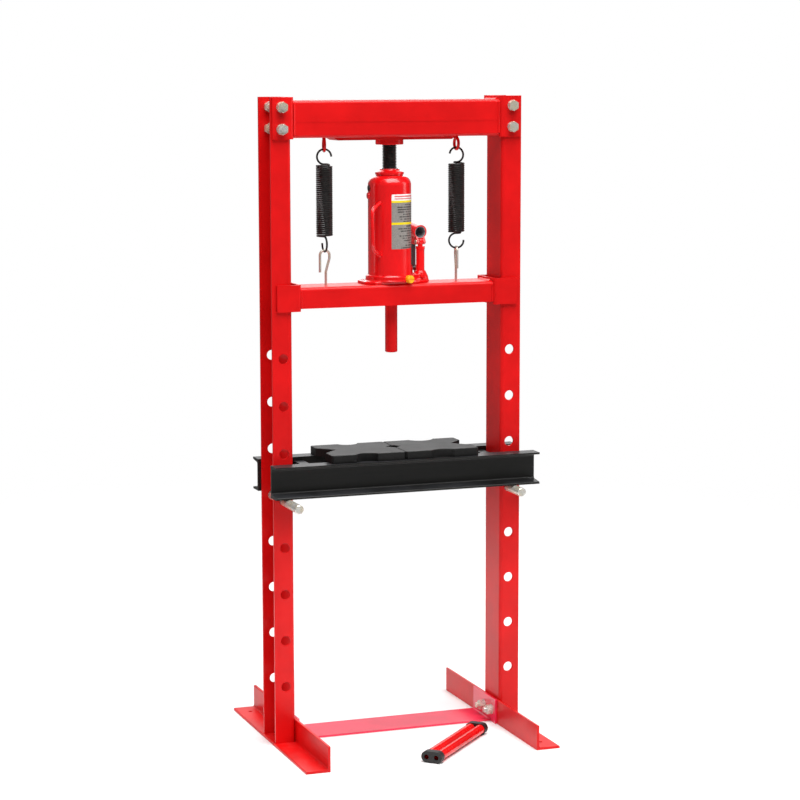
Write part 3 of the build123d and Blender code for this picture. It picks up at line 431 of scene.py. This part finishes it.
def label_film(made):
    """Printed film. The label's own map runs 0 to 1 round the tank and up it.

    A white head with two plain red bars, two yellow stripes, and grey panels with rows of dark bars whose
    lengths come from noise sampled once a row. No lettering.
    """
    uv = made.node("ShaderNodeUVMap", {"uv_map": "LabelMap"}).outputs["UV"]
    across = made.axis("X", uv)
    up = made.axis("Y", uv)
    rows = 23.0
    row = (up * rows).floor()
    in_row = (up * rows) % 1.0
    seed = made.node("ShaderNodeCombineXYZ", None, {"X": row * 7.13, "Y": 0.5, "Z": 0.5}).outputs["Vector"]
    length = made.noise(1.0, 2.0, 0.6, seed) * 1.3
    words = made.node(
        "ShaderNodeCombineXYZ", None, {"X": across * 34.0, "Y": row * 3.7, "Z": 0.0}).outputs["Vector"]
    gaps = made.noise(1.0, 1.0, 0.5, words) > 0.40
    inside = (across > 0.97 - length) * (across < 0.97)
    bars = (in_row > 0.26) * (in_row < 0.80) * inside * gaps
    grain = made.noise(900.0, 3.0, 0.7)
    grey = made.mix(
        grain.fade(0.3, 0.7), shade(colours().label_grey, 0.62), shade(colours().label_grey, 1.15))
    panel = made.mix(bars * 0.85, grey, shade((0.17, 0.15, 0.15), 1.0))
    two_bars = (up > 0.905) * (up < 0.925) + (up > 0.945) * (up < 0.972)
    head_bars = (across > 0.08) * (across < 0.92) * two_bars
    head = made.mix(head_bars * 0.85, shade((0.97, 0.96, 0.96), 1.0), shade((0.85, 0.16, 0.18), 1.0))
    upper = (up > 0.845) * (up < 0.882)
    middle = (up > 0.445) * (up < 0.487)
    yellow = shade(colours().label_yellow, 1.0)
    colour = made.mix(upper + middle, panel, yellow)
    colour = made.mix(up > 0.882, colour, head)
    return made.set(
        Base_Color=colour, Roughness=0.34 + grain * 0.08, Coat_Weight=0.3, Coat_Roughness=0.15,
        Normal=made.bump(grain, 0.01 * MM, 0.4))


def lever_enamel(made):
    """The jack's enamel outside, and bare grey metal inside the handle's bore.

    The bore's axis is the jack lever's own: distance from it is the root of the squares of the two
    lengths across it, once turned to the lever's bearing and tipped to its pitch.
    """
    x, y, z = made.axis("X") - PUMP_X, made.axis("Y") - PUMP_Y, made.axis("Z") - LEVER_Z
    cos_t, sin_t = math.cos(PUMP_TURN), math.sin(PUMP_TURN)
    across = x * cos_t + y * sin_t
    along = y * cos_t - x * sin_t
    rise = z * math.cos(LEVER_PITCH) - along * math.sin(LEVER_PITCH)
    inside = ((across * across + rise * rise) ** 0.5).fade(*LEVER_BORE_EDGE) * (along > LEVER_MOUTH)
    grain = made.noise(160.0, 3.0, 0.6)
    red = made.mix(grain.fade(0.35, 0.7), shade(colours().jack_red, 0.9), shade(colours().jack_red, 1.05))
    grey = made.mix(grain, shade((0.50, 0.50, 0.52), 1.0), shade((0.72, 0.72, 0.73), 1.0))
    return made.set(
        Base_Color=made.mix(inside, red, grey), Metallic=inside * 0.3, Roughness=0.20 + grain * 0.12,
        Coat_Weight=(1.0 - inside) * 0.7, Coat_Roughness=0.1, Specular_IOR_Level=0.25,
        Normal=made.bump(grain, 0.12 * MM, 0.6))


FINISHES = {
    "LeverEnamel": lever_enamel,
    "FrameEnamel": frame_enamel, "StrapEnamelPaintedSheen": strap_enamel_painted_sheen, "JackEnamel": jack_enamel,
    "TubeEnamel": tube_enamel, "CastEnamel": cast_enamel, "BedEnamel": bed_enamel,
    "PlateScale": plate_scale, "ZincPlate": zinc_plate, "SpringBlack": spring_black,
    "ScrewBlack": screw_black, "GroundSteel": ground_steel, "RolledSteel": rolled_steel,
    "MouldedRubber": moulded_rubber, "KnobPaint": knob_paint, "LabelFilm": label_film,
}


# ---------------------------------------------------------------- surfaces
CREASE = 38.0               # edges sharper than this many degrees stay crisp
SCREW_CREASE = 60.0
LABEL_CREASE = 80.0
WELD_DISTANCE = 0.01 * MM


def grid_faces(rows, columns, wrap_columns):
    """Quads between neighbouring points of a grid, as rows of four indices."""
    i = np.arange(rows - 1)
    j = np.arange(columns if wrap_columns else columns - 1)
    i, j = np.meshgrid(i, j, indexing="ij")
    i2, j2 = i + 1, (j + 1) % columns
    quads = np.stack([i * columns + j, i * columns + j2, i2 * columns + j2, i2 * columns + j], -1)
    return quads.reshape(-1, 4)


def add_piece(name, points, quads, caps, finish_name, body, replaced, crease=CREASE):
    """Mesh object from an N by 3 array, quads and end caps, riding on a body of the press."""
    mesh = bpy.data.meshes.new(name)
    faces = [tuple(q) for q in quads.tolist()] + [tuple(c) for c in caps]
    mesh.from_pydata(np.asarray(points).tolist(), [], faces)
    mesh.update()
    mesh.shade_smooth()
    mesh.set_sharp_from_angle(angle=math.radians(crease))
    made = bpy.data.objects.new(name, mesh)
    bpy.context.scene.collection.objects.link(made)
    made.data.materials.append(finish(finish_name))
    if body is not None:
        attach(made, body)
    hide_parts(*replaced)
    return made


def rounded(corners, radii, steps=6):
    """Polyline with each inner corner replaced by an arc-like curve.

    The curve is the quadratic (1-t)^2 a + 2t(1-t) b + t^2 c between points set back from the corner.
    """
    corners = [np.asarray(c, float) for c in corners]
    t = np.linspace(0.0, 1.0, steps)[:, None]
    out = [corners[0][None, :]]
    for before, corner, after, radius in zip(corners, corners[1:], corners[2:], radii):
        back = before - corner
        ahead = after - corner
        reach_a = min(radius, 0.49 * np.linalg.norm(back))
        reach_b = min(radius, 0.49 * np.linalg.norm(ahead))
        a = corner + back / np.linalg.norm(back) * reach_a
        c = corner + ahead / np.linalg.norm(ahead) * reach_b
        out.append((1 - t) ** 2 * a + 2 * t * (1 - t) * corner + t ** 2 * c)
    out.append(corners[-1][None, :])
    return np.concatenate(out)


def rod_points(path, radius, sides):
    """Round section carried along a path.

    The section's frame at each station is the last one with its part along the new tangent removed.
    """
    path = np.asarray(path, float)
    tangent = np.gradient(path, axis=0)
    tangent /= np.linalg.norm(tangent, axis=1, keepdims=True)
    side = np.cross(tangent[0], (0.31, 0.52, 0.79))
    across = np.empty_like(path)
    for k, along in enumerate(tangent):
        side = side - along * (side @ along)
        side = side / np.linalg.norm(side)
        across[k] = side
    other = np.cross(tangent, across)
    t = np.linspace(0.0, 2.0 * math.pi, sides, endpoint=False)
    ring = across[:, None, :] * np.cos(t)[None, :, None] + other[:, None, :] * np.sin(t)[None, :, None]
    return (path[:, None, :] + ring * radius).reshape(-1, 3)


def end_caps(rows, columns):
    """The two polygons that close a grid of rings, facing outwards."""
    last = (rows - 1) * columns
    return [list(range(columns))[::-1], list(range(last, last + columns))]


def rod(name, path, radius, sides, finish_name, body, replaced):
    """Round rod along a path, capped at both ends."""
    points = rod_points(path, radius, sides)
    return add_piece(name, points, grid_faces(len(path), sides, True), end_caps(len(path), sides),
                     finish_name, body, replaced)


def arc(centre, u, v, radius, start, end, count):
    """Points centre + radius (u cos a + v sin a) for a from start to end, in degrees."""
    a = np.radians(np.linspace(start, end, count))[:, None]
    return np.asarray(centre) + radius * (np.cos(a) * np.asarray(u) + np.sin(a) * np.asarray(v))


def surface_copy(node, name):
    """A copy of a CAD node's surface, as a new object without materials."""
    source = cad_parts[node]
    made = bpy.data.objects.new(name, source.data.copy())
    bpy.context.scene.collection.objects.link(made)
    made.data.materials.clear()
    return made


def settle(made, modifiers):
    """Adds modifiers in order and keeps their result as the object's own mesh."""
    for kind, settings in modifiers:
        added = made.modifiers.new(kind.title(), kind)
        for key, value in settings.items():
            setattr(added, key, value)
    evaluated = made.evaluated_get(bpy.context.evaluated_depsgraph_get())
    mesh = bpy.data.meshes.new_from_object(evaluated)
    made.modifiers.clear()
    made.data = mesh
    mesh.shade_smooth()
    return made


def softened(node, name, finish_name, body, voxel, passes):
    """Cast copy of a CAD node: joined, remeshed to an even skin, and its corners eased by smoothing."""
    made = surface_copy(node, name)
    settle(made, [
        ("WELD", {"merge_threshold": WELD_DISTANCE}),
        ("REMESH", {"mode": "VOXEL", "voxel_size": voxel}),
        ("SMOOTH", {"factor": 0.5, "iterations": passes}),
    ])
    made.data.materials.clear()
    made.data.materials.append(finish(finish_name))
    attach(made, body)
    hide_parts(node)
    return made


def paint(finish_name, *nodes):
    """Gives carried-over CAD nodes their finish."""
    for node in nodes:
        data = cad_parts[node].data
        data.materials.clear()
        data.materials.append(finish(finish_name))


# ---------------------------------------------------------------- the press, piece by piece
JACK_X, JACK_Y = -2.4 * MM, 2.0 * MM
PUMP_X, PUMP_Y = 62.8 * MM, 0.0
PUMP_TURN = math.radians(5.2)
LEVER_PITCH = math.radians(6.0)
LEVER_Z = 1027.0 * MM
LEVER_BORE_EDGE = (11.9 * MM, 11.3 * MM)    # the enamel gives way to bare metal between these radii
LEVER_MOUTH = -2.0 * MM
SPRING_X = 141.0 * MM
COIL_RADIUS = 16.9 * MM                     # to the outside of the wire
COIL_LOW, COIL_HIGH = 1024.0 * MM, 1165.8 * MM
TOP_LOOP_GAP, LOW_LOOP_GAP = 2.1 * MM, 2.3 * MM
WIRE_SIDES, POINTS_PER_TURN, LOOP_POINTS, SWING_POINTS = 8, 20, 44, 12
SCREW_CREST, THREAD_TOP, SCREW_COLUMNS, ROWS_PER_TURN = 14.4 * MM, 1207.0 * MM, 48, 12
HANDLE_BEARING = math.radians(224.0)
# distance from the jack's axis and height, in millimetres, of the carry handle's ends and corners
HANDLE_CORNERS = ((42.0, 1089.0), (79.0, 1077.0), (76.0, 1000.0), (42.0, 983.0))
HANDLE_BEND, HANDLE_ROD, HANDLE_SIDES, BEND_POINTS = 14.0 * MM, 3.8 * MM, 20, 14
LABEL_INNER, LABEL_OUTER = 43.45 * MM, 43.85 * MM
LABEL_START, LABEL_SPAN = math.radians(-104.7), math.radians(99.0)
LABEL_COLUMNS, LABEL_ROWS = 97, 23
CASTING_VOXEL, QUICK_VOXEL, CASTING_PASSES = 1.1 * MM, 1.4 * MM, 4
FRAME_NODES = (
    "left_upright", "right_upright", "left_foot", "right_foot", "left_crown_bracket",
    "right_crown_bracket", "crown_beam", "crown_stiffener", "crown_welds", "slide_beam",
    "left_slide_guide", "right_slide_guide", "slide_welds", "jack_head_socket")
ZINC_NODES = (
    "crown_bolts", "crown_nuts", "crown_washers", "brace_bolts", "brace_nuts", "spring_hook_nuts",
    "left_bed_pin", "right_bed_pin", "link_pins", "socket_pin")


class PaintFrame(bpy.types.Operator):
    """Paints the uprights, beams, feet and brackets, and the strap between the feet"""

    bl_idname = "shop_press.paint_frame"
    bl_label = "Paint Frame"

    def execute(self, context):
        paint("FrameEnamel", *FRAME_NODES)
        paint("FrameEnamel", "spring_eyes", "press_rod")
        # The strap's finish carries a painted sheen in its pink colour.
        paint("StrapEnamelPaintedSheen", "cross_brace")
        return {"FINISHED"}


class PlateHardware(bpy.types.Operator):
    """Plates the bolts, nuts, washers and pins"""

    bl_idname = "shop_press.plate_hardware"
    bl_label = "Plate Hardware"

    def execute(self, context):
        paint("ZincPlate", *ZINC_NODES)
        return {"FINISHED"}


class FinishBed(bpy.types.Operator):
    """Finishes the bed channels, their spacers and the arbor plates"""

    bl_idname = "shop_press.finish_bed"
    bl_label = "Finish Bed"

    def execute(self, context):
        paint("BedEnamel", "front_bed_channel", "rear_bed_channel", "bed_spacers")
        paint("PlateScale", "left_arbor_plate", "right_arbor_plate")
        return {"FINISHED"}


def spring_path(side, top_arc, top_turn, low_turn):
    """Centre line of one return spring from its top loop to its bottom loop.

    The coil is a helix of even pitch. Each loop is part of a circle standing on the coil's axis and
    turned by its own angle. Between them the wire swings out a quarter turn, its distance from the
    axis growing as the sine of the way along.
    """
    wire = sizes().spring_wire
    axis = np.array((side * SPRING_X, 0.0, 0.0))
    radius = COIL_RADIUS - wire
    low, high = COIL_LOW + wire * 0.6, COIL_HIGH - wire * 0.6
    turns = round(sizes().spring_turns)
    up = np.array((0.0, 0.0, 1.0))

    def facing(turn):
        return np.array((math.cos(turn), math.sin(turn), 0.0))

    top_z, low_z = high + radius + TOP_LOOP_GAP, low - radius - LOW_LOOP_GAP
    top_loop = arc(axis + up * top_z, facing(top_turn), up, radius, top_arc, -90.0, LOOP_POINTS)
    low_loop = arc(axis + up * low_z, facing(low_turn), up, radius, 90.0, 365.0, LOOP_POINTS)
    leaving = top_turn if top_arc < 0.0 else top_turn + math.pi
    start, end = leaving - math.pi * 0.5, low_turn + math.pi * 0.5
    sweep = -(math.tau * turns + (start - end) % math.tau)
    a = np.linspace(0.0, 1.0, turns * POINTS_PER_TURN)[:, None]
    angle = start + sweep * a
    coil = axis + np.hstack([radius * np.cos(angle), radius * np.sin(angle), high + (low - high) * a])
    s = np.linspace(0.0, 1.0, SWING_POINTS)[:, None]
    angle = leaving - math.pi * 0.5 * s
    reach = radius * np.sin(math.pi * 0.5 * s)
    swing_top = axis + np.hstack([
        reach * np.cos(angle), reach * np.sin(angle), top_z - radius + (high - top_z + radius) * s ** 2])
    angle = end - math.pi * 0.5 * s
    reach = radius * np.cos(math.pi * 0.5 * s)
    swing_low = axis + np.hstack([
        reach * np.cos(angle), reach * np.sin(angle), low + (low_z + radius - low) * (1 - (1 - s) ** 2)])
    return np.vstack([top_loop[:-1], swing_top[:-1], coil[:-1], swing_low[:-1], low_loop])


class WindSprings(bpy.types.Operator):
    """Winds the two return springs, close coils with a loop at each end"""

    bl_idname = "shop_press.wind_springs"
    bl_label = "Wind Springs"

    def execute(self, context):
        for word, side, top_arc, top_turn, low_turn in (
                ("left", -1.0, -360.0, 0.0, 90.0), ("right", 1.0, 172.0, -45.0, -30.0)):
            path = spring_path(side, top_arc, math.radians(top_turn), math.radians(low_turn))
            made = rod(f"{word}_return_spring", path, sizes().spring_wire, WIRE_SIDES, "SpringBlack", None,
                       (f"{word}_spring",))
            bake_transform(made)
        return {"FINISHED"}


class PlateHooks(bpy.types.Operator):
    """Plates the hooks that hold the springs' lower loops"""

    bl_idname = "shop_press.plate_hooks"
    bl_label = "Plate Hooks"

    def execute(self, context):
        paint("ZincPlate", "spring_hooks")
        return {"FINISHED"}


class FinishTank(bpy.types.Operator):
    """Paints the jack's tank, gland nut, cylinder and plugs, and finishes its rubber parts"""

    bl_idname = "shop_press.finish_tank"
    bl_label = "Finish Tank"

    def execute(self, context):
        paint("JackEnamel", "jack_tank", "jack_top_nut", "jack_cylinder", "level_plug", "overload_valve")
        paint("MouldedRubber", "filler_plug", "gland_seal", "ram_seal", "plunger_seal")
        return {"FINISHED"}


class CastBase(bpy.types.Operator):
    """Casts the jack's base, with the soft edges of a sand casting, and paints the pump lever"""

    bl_idname = "shop_press.cast_base"
    bl_label = "Cast Base"

    def execute(self, context):
        voxel = CASTING_VOXEL
        softened("jack_base", "cast_jack_base", "CastEnamel", "carriage", voxel,
                 CASTING_PASSES)
        paint("LeverEnamel", "handle_socket")
        return {"FINISHED"}


def screw_points(columns, per_turn):
    """Extension screw's threaded length as a grid of angle and height.

    The radius follows a rounded trapezoid wave of the thread's phase, which is height over pitch
    less angle over a full turn. The wave fades out over half a pitch at each end.
    """
    low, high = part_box("extension_screw")
    pitch, depth = sizes().thread_pitch, sizes().thread_depth
    head = THREAD_TOP
    bottom = low.z + 1.0 * MM
    rows = int((head - bottom) / pitch * per_turn)
    z = np.linspace(bottom, head, rows)
    t = np.linspace(0.0, 2.0 * math.pi, columns, endpoint=False)
    tt, zz = np.meshgrid(t, z)
    phase = (zz / pitch - tt / math.tau) % 1.0
    rise = np.clip((np.abs(phase - 0.5) - 0.24) / 0.14, 0.0, 1.0)
    rise = rise * rise * (3.0 - 2.0 * rise)
    fade = np.clip((head - zz) / (0.7 * pitch), 0.0, 1.0) * np.clip((zz - bottom) / (0.7 * pitch), 0.0, 1.0)
    radius = SCREW_CREST - depth * rise * fade
    return tt, zz, radius, rows


class CutScrew(bpy.types.Operator):
    """Cuts the extension screw with its coarse thread and plain head"""

    bl_idname = "shop_press.cut_screw"
    bl_label = "Cut Screw"

    def execute(self, context):
        columns = SCREW_COLUMNS
        tt, zz, radius, rows = screw_points(columns, ROWS_PER_TURN)
        low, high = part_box("extension_screw")
        # radius and height of the plain head above the thread
        head_rows = np.array([
            (14.9, 1207.6), (15.0, 1208.2), (15.0, 1212.0), (14.2, 1213.2), (13.0, high.z / MM)]) * MM
        head_t = np.repeat(tt[:1], len(head_rows), 0)
        tt = np.vstack([tt, head_t])
        zz = np.vstack([zz, np.repeat(head_rows[:, 1][:, None], columns, 1)])
        radius = np.vstack([radius, np.repeat(head_rows[:, 0][:, None], columns, 1)])
        points = np.stack([
            JACK_X + radius * np.cos(tt), JACK_Y + radius * np.sin(tt), zz], -1).reshape(-1, 3)
        total = rows + len(head_rows)
        add_piece("threaded_extension_screw", points, grid_faces(total, columns, True),
                  end_caps(total, columns), "ScrewBlack", "screw", ("extension_screw",),
                  SCREW_CREASE)
        paint("GroundSteel", "jack_ram")
        return {"FINISHED"}


class FitPump(bpy.types.Operator):
    """Finishes the pump barrel, the release knob and the valve balls"""

    bl_idname = "shop_press.fit_pump"
    bl_label = "Fit Pump"

    def execute(self, context):
        paint("JackEnamel", "pump_cylinder", "pump_plunger")
        paint("RolledSteel", "pump_link")
        paint("KnobPaint", "release_valve")
        paint("GroundSteel", "valve_balls")
        return {"FINISHED"}


class BendCarryHandle(bpy.types.Operator):
    """Bends the carry handle from rod, out from the tank, down and back"""

    bl_idname = "shop_press.bend_carry_handle"
    bl_label = "Bend Carry Handle"

    def execute(self, context):
        out = np.array((math.cos(HANDLE_BEARING), math.sin(HANDLE_BEARING), 0.0))
        corners = [
            np.array((JACK_X, JACK_Y, z * MM)) + out * r * MM
            for r, z in HANDLE_CORNERS]
        path = rounded(corners, (HANDLE_BEND, HANDLE_BEND), BEND_POINTS)
        rod("carry_loop", path, HANDLE_ROD, HANDLE_SIDES, "JackEnamel", "carriage",
            ("carry_handle",))
        return {"FINISHED"}


class PrintLabel(bpy.types.Operator):
    """Wraps the printed label round the tank, with its own map for the pattern"""

    bl_idname = "shop_press.print_label"
    bl_label = "Print Label"

    def execute(self, context):
        low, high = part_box("tank_label")
        columns, rows = LABEL_COLUMNS, LABEL_ROWS
        a = np.linspace(0.0, 1.0, columns)
        b = np.linspace(0.0, 1.0, rows)
        bb, aa = np.meshgrid(b, a, indexing="ij")
        # the skin, then its four edges folded in to the inner radius
        from_side, from_end = np.minimum(aa, 1 - aa) * (columns - 1), np.minimum(bb, 1 - bb) * (rows - 1)
        edge = np.clip(np.minimum(from_side, from_end), 0, 1)
        radius = LABEL_INNER + (LABEL_OUTER - LABEL_INNER) * edge
        angle = LABEL_START + LABEL_SPAN * aa
        points = np.stack([
            JACK_X + radius * np.cos(angle), JACK_Y + radius * np.sin(angle),
            low.z + (high.z - low.z) * bb], -1).reshape(-1, 3)
        made = add_piece("printed_label", points, grid_faces(rows, columns, False), [], "LabelFilm",
                         "carriage", ("tank_label",), LABEL_CREASE)
        mesh = made.data
        corner_points = np.empty(len(mesh.loops), dtype=np.int32)
        mesh.loops.foreach_get("vertex_index", corner_points)
        flat = np.stack([aa.reshape(-1), bb.reshape(-1)], -1)[corner_points].astype(np.float32)
        layer = mesh.uv_layers.new(name="LabelMap")
        layer.uv.foreach_set("vector", flat.reshape(-1))
        return {"FINISHED"}


class PackHandle(bpy.types.Operator):
    """Finishes the pump handle's tubes and the rubber caps that hold them together"""

    bl_idname = "shop_press.pack_handle"
    bl_label = "Pack Handle"

    def execute(self, context):
        paint("TubeEnamel", "front_handle_tube", "rear_handle_tube")
        paint("MouldedRubber", "near_handle_cap", "far_handle_cap")
        return {"FINISHED"}


# ---------------------------------------------------------------- the stage
CAMERA_PLACE = (-1.63766, -4.49964, 1.3506)
CAMERA_RIGHT = (0.94302664, -0.33270014, -0.00337196)
CAMERA_UP = (0.0494388, 0.13009602, 0.99026806)
CAMERA_FORWARD = (0.32902364, 0.93401587, -0.13913231)
CAMERA_SENSOR, CAMERA_LENS, CAMERA_SHIFT, CAMERA_REACH = 36.0, 107.03, (0.0413, 0.0059), 60.0
ROOM_LIGHT = 0.16
FLOOR_REACH, FLOOR_POINTS, FLOOR_Z = 9.0, 9, -0.0002
FLOOR_FADE = (1.1, 3.2)     # the floor melts into the white room between these distances
# name, place, aim, width in metres and power in watts
LAMPS = (
    ("key_light", (0.2, -2.7, 4.5), (0.0, 0.0, 0.9), (4.6, 1.7), 160.0),
    ("top_light", (0.0, -0.3, 4.4), (0.0, 0.0, 0.5), (2.8, 2.8), 200.0),
    ("left_light", (-4.2, 1.0, 1.4), (0.0, 0.0, 0.8), (1.2, 2.4), 18.0),
    ("right_light", (4.2, -1.6, 1.9), (0.0, 0.0, 0.8), (1.4, 2.4), 26.0),
    ("back_light", (0.8, 3.6, 2.6), (0.0, 0.0, 0.8), (2.6, 2.6), 50.0),
)


class SetStage(bpy.types.Operator):
    """Sets the pale floor, the soft lights and the camera"""

    bl_idname = "shop_press.set_stage"
    bl_label = "Set Stage"

    def execute(self, context):
        self.floor()
        self.world(context)
        self.lights(context)
        self.camera(context)
        return {"FINISHED"}

    def floor(self):
        a = np.linspace(-1.0, 1.0, FLOOR_POINTS) * FLOOR_REACH
        y, x = np.meshgrid(a, a, indexing="ij")
        points = np.stack([x, y, np.full_like(x, FLOOR_Z)], -1).reshape(-1, 3)
        mesh = bpy.data.meshes.new("studio_floor")
        mesh.from_pydata(points.tolist(), [], grid_faces(FLOOR_POINTS, FLOOR_POINTS, False).tolist())
        made = bpy.data.objects.new("studio_floor", mesh)
        bpy.context.scene.collection.objects.link(made)
        paper = Finish("FloorPaper")
        tone = paper.noise(1.2, 2.0, 0.5)
        x, y = paper.axis("X"), paper.axis("Y")
        far = (x * x + y * y) ** 0.5
        mesh.materials.append(paper.set(
            Base_Color=paper.mix(tone, (0.92, 0.92, 0.92, 1.0), (0.95, 0.95, 0.95, 1.0)),
            Roughness=0.62 + tone * 0.05, Specular_IOR_Level=0.3, Alpha=1.0 - far.fade(*FLOOR_FADE)))

    def world(self, context):
        """Plain white to look at, and softer as a light."""
        world = bpy.data.worlds.new("StudioWorld")
        world.use_nodes = True
        tree = world.node_tree
        seen = tree.nodes.new("ShaderNodeBackground")
        seen.inputs["Color"].default_value = (1.0, 1.0, 1.0, 1.0)
        seen.inputs["Strength"].default_value = 1.0
        lit = tree.nodes["Background"]
        lit.inputs["Color"].default_value = (1.0, 1.0, 1.0, 1.0)
        lit.inputs["Strength"].default_value = ROOM_LIGHT
        path = tree.nodes.new("ShaderNodeLightPath")
        choice = tree.nodes.new("ShaderNodeMixShader")
        tree.links.new(path.outputs["Is Camera Ray"], choice.inputs[0])
        tree.links.new(lit.outputs[0], choice.inputs[1])
        tree.links.new(seen.outputs[0], choice.inputs[2])
        tree.links.new(choice.outputs[0], tree.nodes["World Output"].inputs["Surface"])
        context.scene.world = world
        context.scene.view_settings.view_transform = "Standard"

    def lights(self, context):
        for name, place, target, size, power in LAMPS:
            lamp = bpy.data.lights.new(name, "AREA")
            lamp.shape = "RECTANGLE"
            lamp.size, lamp.size_y = size
            lamp.energy = power
            made = bpy.data.objects.new(name, lamp)
            made.location = place
            made.rotation_euler = (Vector(target) - Vector(place)).to_track_quat("-Z", "Y").to_euler()
            context.scene.collection.objects.link(made)

    def camera(self, context):
        data = bpy.data.cameras.new("view_camera")
        data.sensor_width = CAMERA_SENSOR
        data.lens = CAMERA_LENS
        data.shift_x, data.shift_y = CAMERA_SHIFT
        data.clip_end = CAMERA_REACH
        made = bpy.data.objects.new("view_camera", data)
        turned = Matrix((CAMERA_RIGHT, CAMERA_UP, tuple(-v for v in CAMERA_FORWARD))).transposed().to_4x4()
        made.matrix_world = Matrix.Translation(CAMERA_PLACE) @ turned
        context.scene.collection.objects.link(made)
        context.scene.camera = made


# ---------------------------------------------------------------- the panel and the run
OPERATORS = (
    PaintFrame, PlateHardware, FinishBed, WindSprings, PlateHooks, FinishTank, CastBase, CutScrew,
    FitPump, BendCarryHandle, PrintLabel, PackHandle, SetStage)


class PressPanel(bpy.types.Panel):
    """Lists the press's operators in the 3D view's sidebar"""

    bl_idname = "VIEW3D_PT_shop_press"
    bl_label = "Shop Press"
    bl_space_type = "VIEW_3D"
    bl_region_type = "UI"
    bl_category = "Shop Press"

    def draw(self, context):
        for holder in (context.scene.shop_press_sizes, context.scene.shop_press_colours):
            column = self.layout.column()
            for key in holder.bl_rna.properties.keys():
                if key not in ("rna_type", "name"):
                    column.prop(holder, key)
        for operator in OPERATORS:
            self.layout.operator(operator.bl_idname)


CLASSES = (PressSizes, PressColours) + OPERATORS + (PressPanel,)


def register():
    for cls in CLASSES:
        bpy.utils.register_class(cls)
    bpy.types.Scene.shop_press_sizes = PointerProperty(type=PressSizes)
    bpy.types.Scene.shop_press_colours = PointerProperty(type=PressColours)


def unregister():
    del bpy.types.Scene.shop_press_colours
    del bpy.types.Scene.shop_press_sizes
    for cls in reversed(CLASSES):
        bpy.utils.unregister_class(cls)


def main():
    register()
    for operator in OPERATORS:
        group, name = operator.bl_idname.split(".")
        result = getattr(getattr(bpy.ops, group), name)()
        if "FINISHED" not in result:
            raise RuntimeError(f"{operator.bl_idname} did not finish")


if __name__ == "__main__":
    main()
